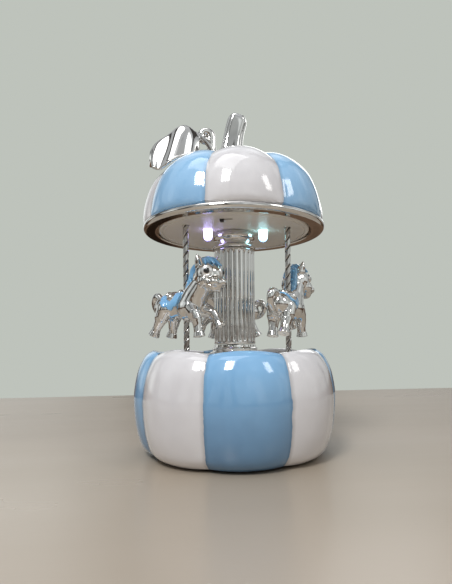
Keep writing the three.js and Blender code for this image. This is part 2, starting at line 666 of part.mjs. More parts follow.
function addMovement() {
  add("bedplate", bedplate(), STEEL);
  POSTS.forEach(([x, y], i) =>
    add(`bed_screw_${i + 1}`, screw(x, y, BED_TOP + 0.1, 6, false, SCREW_RADIUS, 1.8), STEEL));
  add("comb", comb(), STEEL);
  combScrews().forEach(([x, y], i) => {
    const seat = AXIS_Z + COMB_THICKNESS / 2 + GAP;
    add(`comb_screw_${i + 1}`, screw(x, y, seat, 4.2, false), BRASS);
  });
  add("governor_bracket", governorBracket(), STEEL);

  add("spring_barrel", springBarrel(), BRASS);
  add("barrel_lid", barrelLid(), BRASS);
  add("mainspring", mainspring(), STEEL);

  const pinion = gearOnX(gearOutline(PINION_TEETH, CROWN_MODULE, { add: 1, start: -TURN / 4 }),
    PINION_START, PINION_END, 0, AXIS_Z);
  const arborEnd = BRACKET_INNER + POST_THICKNESS + 0.4;
  const arbor = axle(1, PINION_START - 0.8, arborEnd, { z: AXIS_Z, sides: 12 });
  add("cylinder_arbor", join(pinion, arbor), STEEL);
  add("pinned_cylinder", pinnedDrum(), BRASS);
  const wheel = gearOnX(gearOutline(WHEEL_TEETH, TRAIN_MODULE), WHEEL_START,
    WHEEL_START + WHEEL_THICKNESS, 0, AXIS_Z);
  const wheelBore = axle(1 + GAP, WHEEL_START - 1, WHEEL_START + 2, { z: AXIS_Z, sides: 12 });
  add("cylinder_wheel", cut(wheel, wheelBore), BRASS);

  const start = (0.5 / IDLER_TEETH) * TURN + Math.PI;
  const rise = (WORM_WHEEL_TIP - WORM_WHEEL_PITCH) / TRAIN_MODULE;
  const idler = join(
    gearOnX(gearOutline(IDLER_TEETH, TRAIN_MODULE, { start }), WHEEL_START - 0.1,
      WHEEL_START + WHEEL_THICKNESS + 0.1, IDLER_Y, AXIS_Z),
    axle(SHAFT_RADIUS, WHEEL_START - 0.5, BRACKET_END + 0.6, { y: IDLER_Y, z: AXIS_Z, sides: 10 }),
    gearOnX(gearOutline(WORM_WHEEL_TEETH, TRAIN_MODULE, { add: rise }), WORM_WHEEL_START,
      WORM_WHEEL_START + WHEEL_THICKNESS, IDLER_Y, AXIS_Z),
  );
  add("idler_wheel", idler, BRASS);
  add("governor", governor(), STEEL);
}

// ---------------------------------------------------------------- wave track and turntable

// A fixed track under the pole feet that rises and falls four times in a turn.
function waveTrack() {
  const waves = 4;
  const sides = 2 * ROUND;
  const [inner, outer] = [POLE_CIRCLE - 3, POLE_CIRCLE + 3];
  const profile = [
    [inner, TRACK_BOTTOM], [WELL_RADIUS - GAP, TRACK_BOTTOM], [WELL_RADIUS - GAP, TRACK_BOTTOM + TRACK_FLANGE],
    [outer, TRACK_BOTTOM + TRACK_FLANGE], [outer, TRACK_TOP], [inner, TRACK_TOP], [inner, TRACK_BOTTOM],
  ];
  const points = profile.map(([r, z]) => new THREE.Vector2(r, z));
  const geometry = new THREE.LatheGeometry(points, sides);
  const position = geometry.getAttribute("position");
  for (let i = 0; i < position.count; i++) {
    if (position.getY(i) < TRACK_TOP - 0.01) continue;
    const a = Math.atan2(position.getX(i), position.getZ(i));
    const dip = (POLE_STROKE - 0.4) * (0.5 + 0.5 * Math.cos(waves * a));
    position.setY(i, TRACK_TOP - dip);
  }
  return solid(geometry.rotateX(Math.PI / 2));
}

const poleHoles = (low, high, radius = POLE_RADIUS + GAP) =>
  POLE_ANGLES.map((a) => {
    const [x, y] = onCircle(POLE_CIRCLE, a);
    return rod(radius, low, high, { x, y, sides: 10 });
  });

function turntable() {
  const disc = turned(
    [
      [0, HUB_BOTTOM], [7, HUB_BOTTOM], [7, DECK_BOTTOM], [WELL_RADIUS - DECK_PLAY, DECK_BOTTOM],
      [WELL_RADIUS - DECK_PLAY, DECK_TOP - 0.4], [WELL_RADIUS - DECK_PLAY - 0.4, DECK_TOP], [0, DECK_TOP],
    ],
    2 * ROUND,
  );
  const half = DRIVE_SQUARE / 2 + GAP;
  return cut(
    disc,
    block(-half, half, -half, half, HUB_BOTTOM - 1, SOCKET_TOP),
    rod(SPINDLE_RADIUS + GAP, SOCKET_TOP - 1, DECK_TOP + 1, { sides: 14 }),
    ...poleHoles(DECK_BOTTOM - 1, DECK_TOP + 1),
  );
}

// ---------------------------------------------------------------- column

const SHAFT_LOW = DECK_TOP + GAP + PLINTH_HEIGHT + GAP;
const SHAFT_HIGH = CEILING_BOTTOM - GAP - CAPITAL_HEIGHT - GAP;

function flutedShaft() {
  const outline = [];
  for (let k = 0; k < FLUTES; k++)
    for (const [share, r] of [[-0.34, 0], [0.34, 0], [0.46, 1], [0.54, 1]]) {
      const a = ((k + share) / FLUTES) * TURN;
      const radius = COLUMN_RADIUS - r * FLUTE_DEPTH;
      outline.push([radius * Math.cos(a), radius * Math.sin(a)]);
    }
  return cut(plate(outline, SHAFT_LOW, SHAFT_HIGH), rod(COLUMN_BORE, 0, CEILING_TOP));
}

function addColumn() {
  const r = COLUMN_RADIUS;
  const low = DECK_TOP + GAP;
  add("column_plinth", turned([
    [COLUMN_BORE, low], [r + 2.6, low], [r + 2.6, low + 1.2], [r + 1.2, low + 2.6], [r + 0.9, low + 4],
    [r + 0.2, low + PLINTH_HEIGHT], [COLUMN_BORE, low + PLINTH_HEIGHT], [COLUMN_BORE, low],
  ], FLUTES), PLATED);
  add("column_shaft", flutedShaft(), PLATED);
  const foot = SHAFT_HIGH + GAP;
  const top = foot + CAPITAL_HEIGHT;
  add("column_capital", turned([
    [COLUMN_BORE, foot], [r + 0.2, foot], [r + 0.7, foot + 1], [r + 0.2, foot + 2], [r - 0.8, foot + 3],
    [r - 0.7, foot + 4.4], [r + 0.3, foot + 6], [r + 0.5, foot + 7.4], [r - 0.4, top],
    [COLUMN_BORE, top], [COLUMN_BORE, foot],
  ], FLUTES), PLATED);
  const nutLow = BOARD_TOP + GAP;
  add("spindle", rod(SPINDLE_RADIUS, SOCKET_TOP + 0.4, nutLow + 4.2, { sides: 14 }), STEEL);
  add("spindle_nut", ring(SPINDLE_RADIUS + GAP, 4.2, nutLow, nutLow + 3, 6), STEEL);
}

// ---------------------------------------------------------------- ceiling, lamps and switch

const switchPlace = (made) => made.rotate([0, 0, SWITCH_ANGLE]);

// A slot for the switch's lever, drawn at the front and then turned to its angle.
function switchSlot(low, high, play) {
  const half = SWITCH_TRAVEL + 1 + play;
  return switchPlace(block(-half, half, -SWITCH_CIRCLE - 1 - play, -SWITCH_CIRCLE + 1 + play, low, high));
}

const lampHoles = (low, high, radius) =>
  POLE_ANGLES.map((a) => {
    const [x, y] = onCircle(LED_CIRCLE, a);
    return rod(radius, low, high, { x, y, sides: 12 });
  });

const CEILING_RADIUS = CANOPY_RADIUS - RIM_WIDTH - CEILING_PLAY;

function addCeiling() {
  add("ceiling_disc", cut(
    rod(CEILING_RADIUS, CEILING_BOTTOM, CEILING_TOP, { sides: 2 * ROUND }),
    rod(SPINDLE_RADIUS + GAP, CEILING_BOTTOM - 1, CEILING_TOP + 1, { sides: 14 }),
    ...poleHoles(CEILING_BOTTOM - 1, CEILING_TOP + 1),
    ...lampHoles(CEILING_BOTTOM - 1, CEILING_TOP + 1, LED_RADIUS + GAP),
    switchSlot(CEILING_BOTTOM - 1, CEILING_TOP + 1, GAP),
  ), CREAM);
  add("lamp_board", cut(
    rod(BOARD_RADIUS, BOARD_BOTTOM, BOARD_TOP, { sides: 2 * ROUND }),
    rod(SPINDLE_RADIUS + GAP, BOARD_BOTTOM - 1, BOARD_TOP + 1, { sides: 14 }),
    ...poleHoles(BOARD_BOTTOM - 1, BOARD_TOP + 1),
    switchSlot(BOARD_BOTTOM - 1, BOARD_TOP + 1, GAP),
  ), BOARD_GREEN);
  POLE_ANGLES.forEach((a, i) => {
    const [x, y] = onCircle(LED_CIRCLE, a);
    const tip = CEILING_BOTTOM - LED_REACH;
    const lamp = turned([
      [0, tip], [0.4 * LED_RADIUS, tip + 0.2], [0.8 * LED_RADIUS, tip + 1], [LED_RADIUS, tip + LED_RADIUS],
      [LED_RADIUS, BOARD_BOTTOM - GAP], [0, BOARD_BOTTOM - GAP],
    ], 12).translate([x, y, 0]);
    add(`lamp_${i + 1}`, lamp, LENS);
  });
  const [x, y] = onCircle(19, 120);
  const floor = BOARD_TOP + GAP;
  const holder = cut(
    rod(CELL_RADIUS + 1.5, floor, floor + 4.6, { x, y, sides: 24 }),
    rod(CELL_RADIUS + GAP, floor + 1, floor + 6, { x, y, sides: 24 }),
  );
  add("cell_holder", holder, BLACK);
  const cell = rod(CELL_RADIUS, floor + 1 + GAP, floor + 1 + GAP + CELL_THICKNESS, { x, y, sides: 24 });
  add("coin_cell", cell, STEEL);
  const wide = SWITCH_TRAVEL + 2.4;
  const housing = switchPlace(block(-wide, wide, -SWITCH_CIRCLE - 2.4, -SWITCH_CIRCLE + 2.4, floor, floor + 3.6));
  add("switch_housing", cut(housing, switchSlot(floor - 1, floor + 2.8, GAP)), STEEL);
  const lever = block(
    -SWITCH_TRAVEL - 1, -SWITCH_TRAVEL + 1, -SWITCH_CIRCLE - 1, -SWITCH_CIRCLE + 1,
    CEILING_BOTTOM - 1.2, floor + 2.4,
  );
  add("switch_lever", switchPlace(lever), BLACK);
}

// ---------------------------------------------------------------- canopy

function canopyRim() {
  const inner = CEILING_RADIUS + CEILING_PLAY;
  const outer = CANOPY_RADIUS;
  const flangeLow = CEILING_TOP + GAP;
  const flangeTop = flangeLow + 1.4;
  const seat = outer - CANOPY_WALL - 2.2;
  return turned([
    [inner, RIM_BOTTOM + 0.2], [inner + 0.8, RIM_BOTTOM], [outer - 1.4, RIM_BOTTOM], [outer - 0.2, RIM_BOTTOM + 0.8],
    [outer + 0.1, RIM_BOTTOM + 1.9], [outer - 0.4, RIM_TOP], [seat, RIM_TOP], [seat, flangeTop],
    [BOARD_RADIUS + 3.4, flangeTop], [BOARD_RADIUS + 3.4, flangeLow], [inner, flangeLow], [inner, RIM_BOTTOM + 0.2],
  ], 2 * ROUND);
}

function canopyShell() {
  const at = (r, h) => [r * CANOPY_RADIUS, CANOPY_BOTTOM + h * CANOPY_HEIGHT];
  const outside = lobed(
    [
      [0, CANOPY_BOTTOM, 0],
      [...at(0.99, 0), 0.6],
      [...at(1, 0.11), 0.85],
      at(0.986, 0.28),
      at(0.948, 0.47),
      at(0.888, 0.65),
      at(0.8, 0.79),
      at(0.69, 0.905),
      at(0.57, 0.975),
      at(0.46, 1),
      [...at(0.36, 0.965), 0.8],
      [...at(0.275, 0.89), 0.4],
      [...at(0.22, 0.81), 0],
      [...at(0.2, 0.785), 0],
      [0, CANOPY_BOTTOM + 0.785 * CANOPY_HEIGHT, 0],
    ],
    CANOPY_LOBE_DEPTH,
    LOBES * LOBE_STEPS,
  );
  const wall = CANOPY_WALL + 0.7;
  const skirt = CANOPY_RADIUS - CANOPY_WALL - 1.9;
  const crest = CANOPY_BOTTOM + CANOPY_HEIGHT - CANOPY_LOBE_DEPTH - CANOPY_WALL;
  const at2 = (r, h) => [r * skirt, CANOPY_BOTTOM + h * (crest - CANOPY_BOTTOM)];
  const hollow = turned(
    [
      [0, CANOPY_BOTTOM - 1], [skirt, CANOPY_BOTTOM - 1], at2(1, 0.15), at2(0.975, 0.38), at2(0.91, 0.6),
      at2(0.8, 0.79), at2(0.66, 0.92), at2(0.5, 0.98), at2(0.36, 0.9),
      [0.24 * skirt, CANOPY_BOTTOM + 0.785 * CANOPY_HEIGHT - wall], [0, CANOPY_BOTTOM + 0.785 * CANOPY_HEIGHT - wall],
    ],
    2 * ROUND,
  );
  return cut(outside, hollow);
}

// ---------------------------------------------------------------- stem, leaf and tendril

const CROWN_Z = CANOPY_BOTTOM + 0.785 * CANOPY_HEIGHT + GAP; // the floor of the dip on top

const STEM_HEIGHT = 38;
const STEM_FOOT = 8;
const STEM_TIP = 5;
const LEAF_START = 19.6; // from the axis to the root of the blade
const LEAF_WIDTH = 26;
const LEAF_THICKNESS = 1.4;
const LEAF_HEADING = 187; // from +X towards +Y
const TENDRIL_RADIUS = 2.5;

// A ribbed stem that leans and narrows upwards; s runs from 0 at the foot to 1 at the cut end.
function stem() {
  const [sides, rows, ribs] = [20, 9, 0.06];
  const geometry = new THREE.CylinderGeometry(1, 1, 1, sides, rows);
  const position = geometry.getAttribute("position");
  const [foot, tip] = [STEM_FOOT / (1 + ribs), STEM_TIP / (1 + ribs)];
  for (let i = 0; i < position.count; i++) {
    const s = position.getY(i) + 0.5;
    const rim = Math.hypot(position.getX(i), position.getZ(i));
    const a = Math.atan2(position.getZ(i), position.getX(i));
    const flare = THREE.MathUtils.smoothstep(s, 0.2, 0.75);
    const radius = rim * (1 + ribs * Math.cos(5 * a + 2 * s)) * (foot + (tip - foot) * flare);
    const lean = -1.4 + 5.6 * s ** 2.8;
    const slant = 0.85 * s ** 3 * radius * Math.cos(a);
    const high = s * (STEM_HEIGHT - 5) - slant;
    position.setXYZ(i, lean + radius * Math.cos(a), high, radius * Math.sin(a));
  }
  return solid(geometry.rotateX(Math.PI / 2).translate(0, 0, CROWN_Z));
}

// A leaf arched along its midrib; u runs from its root to its tip and v across it from -1 to 1.
// It starts on a stalk and drops over the shoulder of the dome.
function leaf() {
  const arch = [[0, 22.5], [5.4, 27.6], [11, 27], [18, 23], [25.6, 17.4], [28, 11.6], [23.4, 4.8]];
  const spine = new THREE.CatmullRomCurve3(arch.map(([r, z]) => new THREE.Vector3(r, z, 0)));
  const halves = [0.42, 0.8, 1, 0.97, 0.85, 0.66, 0.2];
  const geometry = new THREE.BoxGeometry(1, 1, 1, 12, 8, 1);
  const position = geometry.getAttribute("position");
  const half = LEAF_WIDTH / 2;
  for (let i = 0; i < position.count; i++) {
    const u = position.getX(i) + 0.5;
    const v = position.getY(i) * 2;
    const at = spine.getPoint(u);
    const along = spine.getTangent(u);
    const step = Math.min(5, Math.floor(u * 6));
    const share = THREE.MathUtils.lerp(halves[step], halves[step + 1], u * 6 - step);
    const width = half * share * (1 + 0.07 * Math.sin(6 * Math.PI * u));
    const hang = v > 0 ? 27 - 17 * u : 13 - 10 * u; // the near side hangs down to the dome
    const fall = hang * share * Math.abs(v) ** 1.25;
    const thick = position.getZ(i) * LEAF_THICKNESS;
    const out = LEAF_START + at.x - thick * along.y - 0.15 * fall * u;
    position.setXYZ(i, out, v * width, at.y + thick * along.x - fall);
  }
  const blade = solid(geometry.rotateZ(radians(LEAF_HEADING)).translate(0, 0, CROWN_Z));
  const [x, y] = [Math.cos(radians(LEAF_HEADING)), Math.sin(radians(LEAF_HEADING))];
  const tie = LEAF_START + 1.4;
  const stalk = limb(
    [-STEM_FOOT - 2.6, -3, CROWN_Z + 12], [tie * x, tie * y, CROWN_Z + 23.4], 1.3, 1.2, 0, 7);
  return join(blade, stalk);
}

// A thick shoot that rises beside the stem and curls over on itself.
function tendril() {
  const [x, y, z] = [-STEM_FOOT - 7, 3.4, CROWN_Z + 24.6];
  const path = [[-STEM_FOOT - 3.8, 5, CROWN_Z + 8], [-STEM_FOOT - 3.7, 4.6, CROWN_Z + 14]];
  for (let k = 0; k <= 9; k++) {
    const a = (k / 9) * 0.85 * TURN - 0.3;
    const r = 3.1 - 0.08 * k;
    path.push([x + r * Math.cos(a), y - 0.12 * k + 0.4, z + r * Math.sin(a)]);
  }
  return wire(path, TENDRIL_RADIUS, 7, 26);
}

function addCanopy() {
  add("canopy_rim", canopyRim(), PLATED);
  add("canopy_shell", canopyShell(), WHITE);
  add("stem", stem(), PLATED);
  add("leaf", leaf(), PLATED);
  add("tendril", tendril(), PLATED);
}

// ---------------------------------------------------------------- ponies

// An egg-shaped lump, tipped nose-up by pitch degrees.
function lump([x, y, z], [a, b, c], grow, { pitch = 0, sides = 8 } = {}) {
  const egg = new THREE.SphereGeometry(1, sides, sides > 8 ? 7 : 5);
  egg.rotateX(Math.PI / 2).scale(a + grow, b + grow, c + grow);
  return solid(egg.rotateY(-radians(pitch)).translate(x, y, z));
}

// A tapered limb between two points.
function limb(from, to, radius, end, grow, sides = 6) {
  const [a, b] = [new THREE.Vector3(...from), new THREE.Vector3(...to)];
  const along = b.clone().sub(a);
  const shape = new THREE.CylinderGeometry(end + grow, radius + grow, along.length() + 2 * grow, sides);
  shape.applyQuaternion(new THREE.Quaternion().setFromUnitVectors(
    new THREE.Vector3(0, 1, 0), along.clone().normalize()));
  const middle = a.add(b).multiplyScalar(0.5);
  return solid(shape.translate(middle.x, middle.y, middle.z));
}

// One leg, from the body through the knee to a flared hoof.
function leg([body, knee, hoof], grow) {
  return join(limb(body, knee, 3.7, 2.3, grow, 5), limb([knee[0], knee[1], knee[2] + 1], hoof, 2.1, 2.9, grow));
}

const LEGS = [
  [[-10, -3.4, 14], [-14.2, -4, 8.6], [-18.2, -4, 2.2]],
  [[-9, 3.4, 14], [-10.8, 4, 8], [-12.8, 4, 1]],
  [[4.8, -3.4, 15.4], [9.2, -4, 9.8], [10.6, -4, 1]],
  [[5.6, 3.4, 16], [13.4, 4, 12.6], [17.8, 4, 6.4]],
];
const FACE_TURN = -26; // the head looks to its right

// The pony faces +X with its hooves at z = 0 and the pole through the origin.
function ponyBody(grow = 0) {
  const [x, y] = [Math.cos(radians(FACE_TURN)), Math.sin(radians(FACE_TURN))];
  const [headX, headZ] = [14, 31.4];
  const onHead = (ahead, left, up) => [headX + ahead * x - left * y, ahead * y + left * x, headZ + up];
  return join(
    lump([-4.5, 0, 16.4], [11.6, 6.3, 6.9], grow, { pitch: 16 }),
    limb([2.6, 0, 14.5], [11, 0, 29], 7.6, 5.4, grow, 8),
    lump([headX, 0, headZ], [7.4, 7.4, 7.2], grow),
    lump(onHead(5.6, 0, -5.4), [5.4, 5.4, 4.1], grow, { sides: 6 }),
    ...[-1, 1].map((side) => limb(onHead(-1, side * 4.4, 5), onHead(-1, side * 6.2, 10.4), 2.2, 0.4, grow, 4)),
    limb([-11.5, 0, 16.8], [-17, 0, 18.4], 2.6, 3.3, grow, 6),
    ...LEGS.map((points) => leg(points, grow)),
  );
}

const poleBore = () => rod(POLE_RADIUS + GAP, -10, 60, { sides: 8 });

function ponySaddle() {
  const blanket = lump([-6.6, 0, 16.6], [7.4, 7.6, 8.6], 0, { pitch: 14 });
  const reach = block(-13.4, -1.3, -10, 10, 13, 32);
  return cut(blanket.intersect(reach), ponyBody(GAP), poleBore());
}

function ponyMane() {
  const hair = join(
    lump([13.4, -0.4, 37.6], [4.6, 4.2, 3.2], 0, { sides: 6 }),
    lump([7.4, 0.6, 35.6], [4.4, 3.2, 4.4], 0, { sides: 6 }),
    lump([3.6, 0, 28], [3.4, 2.6, 6.4], 0, { pitch: -24, sides: 6 }),
  );
  return cut(hair, ponyBody(GAP), poleBore());
}

function addPonies() {
  const body = cut(ponyBody(), poleBore());
  const saddle = ponySaddle();
  const mane = ponyMane();
  const poleTop = BOARD_TOP + 2.4;
  POLE_ANGLES.forEach((angle, i) => {
    const [x, y] = onCircle(POLE_CIRCLE, angle);
    const mount = new THREE.Group();
    mount.position.set(x, y, DECK_TOP + PONY_LIFT);
    mount.rotation.z = radians(PONY_HEADINGS[i]);
    group.add(mount);
    add(`pony_${i + 1}`, body, PLATED, mount);
    add(`saddle_${i + 1}`, saddle, BLUE, mount);
    add(`mane_${i + 1}`, mane, BLUE, mount);
    const foot = turned([
      [0, POLE_FOOT_BOTTOM], [1.6, POLE_FOOT_BOTTOM], [2.4, POLE_FOOT_BOTTOM + 0.8],
      [2.4, POLE_FOOT_TOP], [0, POLE_FOOT_TOP],
    ], 12).translate([x, y, 0]);
    const bar = rod(POLE_RADIUS, POLE_FOOT_TOP - 1, poleTop, { x, y, sides: 12 });
    add(`pole_${i + 1}`, join(foot, bar), STEEL);
  });
}

// ---------------------------------------------------------------- assembly

addBase();
addWinding();
addMovement();
add("wave_track", waveTrack(), CREAM);
add("turntable", turntable(), CREAM);
addColumn();
addCeiling();
addCanopy();
addPonies();

export default group;
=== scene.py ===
import bpy
from math import atan2, cos, floor, hypot, pi, radians, sin
from mathutils import Matrix, Vector


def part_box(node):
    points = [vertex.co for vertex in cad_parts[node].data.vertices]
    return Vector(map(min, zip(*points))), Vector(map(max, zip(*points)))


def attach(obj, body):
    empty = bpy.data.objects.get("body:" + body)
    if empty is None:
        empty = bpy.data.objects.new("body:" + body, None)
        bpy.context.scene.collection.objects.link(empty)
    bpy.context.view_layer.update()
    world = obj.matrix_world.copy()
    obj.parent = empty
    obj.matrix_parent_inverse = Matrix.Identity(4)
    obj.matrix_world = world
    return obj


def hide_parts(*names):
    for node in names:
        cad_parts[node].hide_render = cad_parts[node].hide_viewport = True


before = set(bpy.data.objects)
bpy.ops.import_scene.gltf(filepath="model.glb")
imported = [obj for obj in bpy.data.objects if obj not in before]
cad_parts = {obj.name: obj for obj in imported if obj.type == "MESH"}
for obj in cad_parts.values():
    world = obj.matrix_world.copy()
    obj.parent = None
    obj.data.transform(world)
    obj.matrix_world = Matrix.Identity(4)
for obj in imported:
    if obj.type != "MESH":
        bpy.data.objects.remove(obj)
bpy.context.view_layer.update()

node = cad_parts
bpy.ops.object.select_all(action="DESELECT")
mm = 0.001


# ======================================================================================
# LOWER PUMPKIN SHELL
# A slip-cast ceramic bowl with eight lobes, painted blue and white by turns and glazed.
# It stands on its cover's rubber feet, and the turntable turns in the round well on top.
# ======================================================================================

lobes = 8
shell_low, shell_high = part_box("base_shell")
shell_foot, shell_top = shell_low.z / mm, shell_high.z / mm
shell_radius = shell_high.x / mm
shell_crease, crease_power = 2.4, 2.2
well_radius, hollow_radius, cover_radius = 41.3, 50.1, 44.04
shelf_radius, shelf_top, shelf_low, cover_top = 39, 36.9, 34.4, 3.9
glaze_white = (0.79, 0.775, 0.79)
shell_blue = (0.27, 0.53, 0.83)
# painted shade: the blue lobes turn to this darker blue towards the bottom of the shell
shell_blue_shaded = (0.125, 0.25, 0.42)


def bare():
    """Leaves nothing selected."""
    if bpy.context.object and bpy.context.object.mode != "OBJECT":
        bpy.ops.object.mode_set(mode="OBJECT")
    bpy.ops.object.select_all(action="DESELECT")


def pick(*pieces):
    """Selects only these pieces, the first one active."""
    bare()
    for piece in pieces:
        piece.select_set(True)
    bpy.context.view_layer.objects.active = pieces[0]


def soft_line(points, cuts=6):
    """A smooth line through the given points, with cuts steps from each one to the next."""
    line = []
    for k in range(len(points) - 1):
        before, here = points[max(0, k - 1)], points[k]
        there, after = points[k + 1], points[min(len(points) - 1, k + 2)]
        for step in range(cuts):
            t = step / cuts
            line.append(tuple(
                0.5 * (2 * b + (c - a) * t + (2 * a - 5 * b + 4 * c - d) * t**2 + (3 * b - a - 3 * c + d) * t**3)
                for a, b, c, d in zip(before, here, there, after)))
    return line + [tuple(points[-1])]


def turned(name, outline, steps=96, closed=False):
    """A piece turned on a lathe: half its outline, (radius, height) in mm, spun round the upright axis."""
    bare()
    bpy.ops.mesh.primitive_plane_add(size=mm)
    piece = bpy.context.object
    piece.name = piece.data.name = name
    bpy.ops.object.mode_set(mode="EDIT")
    bpy.ops.mesh.merge(type="CENTER")
    bpy.ops.transform.translate(value=(outline[0][0] * mm, 0, outline[0][1] * mm))
    path = list(outline[1:]) + ([outline[0]] if closed else [])
    here = outline[0]
    for there in path:
        step = ((there[0] - here[0]) * mm, 0, (there[1] - here[1]) * mm)
        bpy.ops.mesh.extrude_region_move(TRANSFORM_OT_translate={"value": step})
        here = there
    bpy.ops.mesh.select_all(action="SELECT")
    bpy.ops.mesh.spin(steps=steps, angle=2 * pi, center=(0, 0, 0), axis=(0, 0, 1))
    bpy.ops.mesh.select_all(action="SELECT")
    bpy.ops.mesh.remove_doubles(threshold=2e-6)
    bpy.ops.mesh.normals_make_consistent(inside=False)
    bpy.ops.object.mode_set(mode="OBJECT")
    return piece


def apply_all(piece):
    """Makes every modifier on the piece part of its mesh."""
    pick(piece)
    for name in [m.name for m in piece.modifiers]:
        bpy.ops.object.modifier_apply(modifier=name)
    return piece


def pressed(piece, depth, share):
    """Presses the surface in by depth mm, times share(x, y, z in mm) at each point."""
    group = piece.vertex_groups.new(name="pressed")
    for v in piece.data.vertices:
        weight = share(*(v.co / mm))
        if weight > 0:
            group.add([v.index], min(1.0, weight), "REPLACE")
    press = piece.modifiers.new("press", "DISPLACE")
    press.direction, press.mid_level, press.strength = "NORMAL", 0.0, -depth * mm
    press.vertex_group = "pressed"
    apply_all(piece)
    piece.vertex_groups.clear()
    return piece


def smooth(piece, angle=30):
    """Smooth shading, with edges sharper than the angle kept crisp."""
    pick(piece)
    bpy.ops.object.shade_smooth_by_angle(angle=radians(angle))
    return piece


def from_crest(x, y, count=lobes):
    """0 on the crest of a lobe and 1 in the crease beside it; a lobe faces the front."""
    t = atan2(x, -y) / (2 * pi) * count
    return abs(t - floor(t + 0.5)) * 2


def lobed(piece, profile, depth):
    """Creases a turned shell into lobes. The profile's third number is how far each point gives way."""
    known = {}

    def share(x, y, z):
        key = (round(hypot(x, y), 2), round(z, 2))
        if key not in known:
            known[key] = min(profile, key=lambda p: (p[0] - key[0]) ** 2 + (p[1] - key[1]) ** 2)
        give = max(0.0, known[key][2])
        return give * from_crest(x, y) ** crease_power

    return pressed(piece, depth, share)


def surface(name, colour, rough, metal=0.0, *, coat=0.0, second=None, patch=90.0, rough_by=0.04,
            dents=0.0, dent_size=300.0, grain=0.0, grain_size=2500.0, stretch=(1, 1, 1), specular=0.5):
    """A finish whose colour, sheen and height all wander a little, as on a real piece."""
    made = bpy.data.materials.new(name)
    made.use_nodes = True
    nodes, link = made.node_tree.nodes, made.node_tree.links.new
    shader = nodes["Principled BSDF"]
    shader.inputs["Metallic"].default_value = metal
    shader.inputs["Coat Weight"].default_value = coat
    shader.inputs["Coat Roughness"].default_value = 0.04
    shader.inputs["Specular IOR Level"].default_value = specular
    place = nodes.new("ShaderNodeTexCoord")
    lay = nodes.new("ShaderNodeMapping")
    lay.inputs["Scale"].default_value = stretch
    link(place.outputs["Object"], lay.inputs["Vector"])

    def speckle(size, detail=3.0):
        made_noise = nodes.new("ShaderNodeTexNoise")
        made_noise.inputs["Scale"].default_value = size
        made_noise.inputs["Detail"].default_value = detail
        link(lay.outputs["Vector"], made_noise.inputs["Vector"])
        return made_noise.outputs["Fac"]

    mix = nodes.new("ShaderNodeMix")
    mix.data_type = "RGBA"
    mix.name = "colour"
    second = second or tuple(0.9 * c for c in colour)
    mix.inputs[6].default_value = (*colour, 1)
    mix.inputs[7].default_value = (*second, 1)
    spread = nodes.new("ShaderNodeMapRange")
    spread.inputs["From Min"].default_value, spread.inputs["From Max"].default_value = 0.35, 0.7
    link(speckle(patch), spread.inputs["Value"])
    link(spread.outputs["Result"], mix.inputs[0])
    link(mix.outputs[2], shader.inputs["Base Color"])
    shine = nodes.new("ShaderNodeMapRange")
    shine.inputs["To Min"].default_value = max(0.0, rough - rough_by)
    shine.inputs["To Max"].default_value = rough + rough_by
    link(speckle(patch * 3.1), shine.inputs["Value"])
    link(shine.outputs["Result"], shader.inputs["Roughness"])
    height = None
    for depth, size in ((dents, dent_size), (grain, grain_size)):
        if depth:
            bump = nodes.new("ShaderNodeBump")
            bump.inputs["Strength"].default_value = 1.0
            bump.inputs["Distance"].default_value = depth * mm
            link(speckle(size, 2.0), bump.inputs["Height"])
            if height:
                link(height, bump.inputs["Normal"])
            height = bump.outputs["Normal"]
    if height:
        link(height, shader.inputs["Normal"])
    return made


def dressed(piece, finish):
    """Gives the piece this finish and no other."""
    piece.data.materials.clear()
    piece.data.materials.append(finish)
    return piece


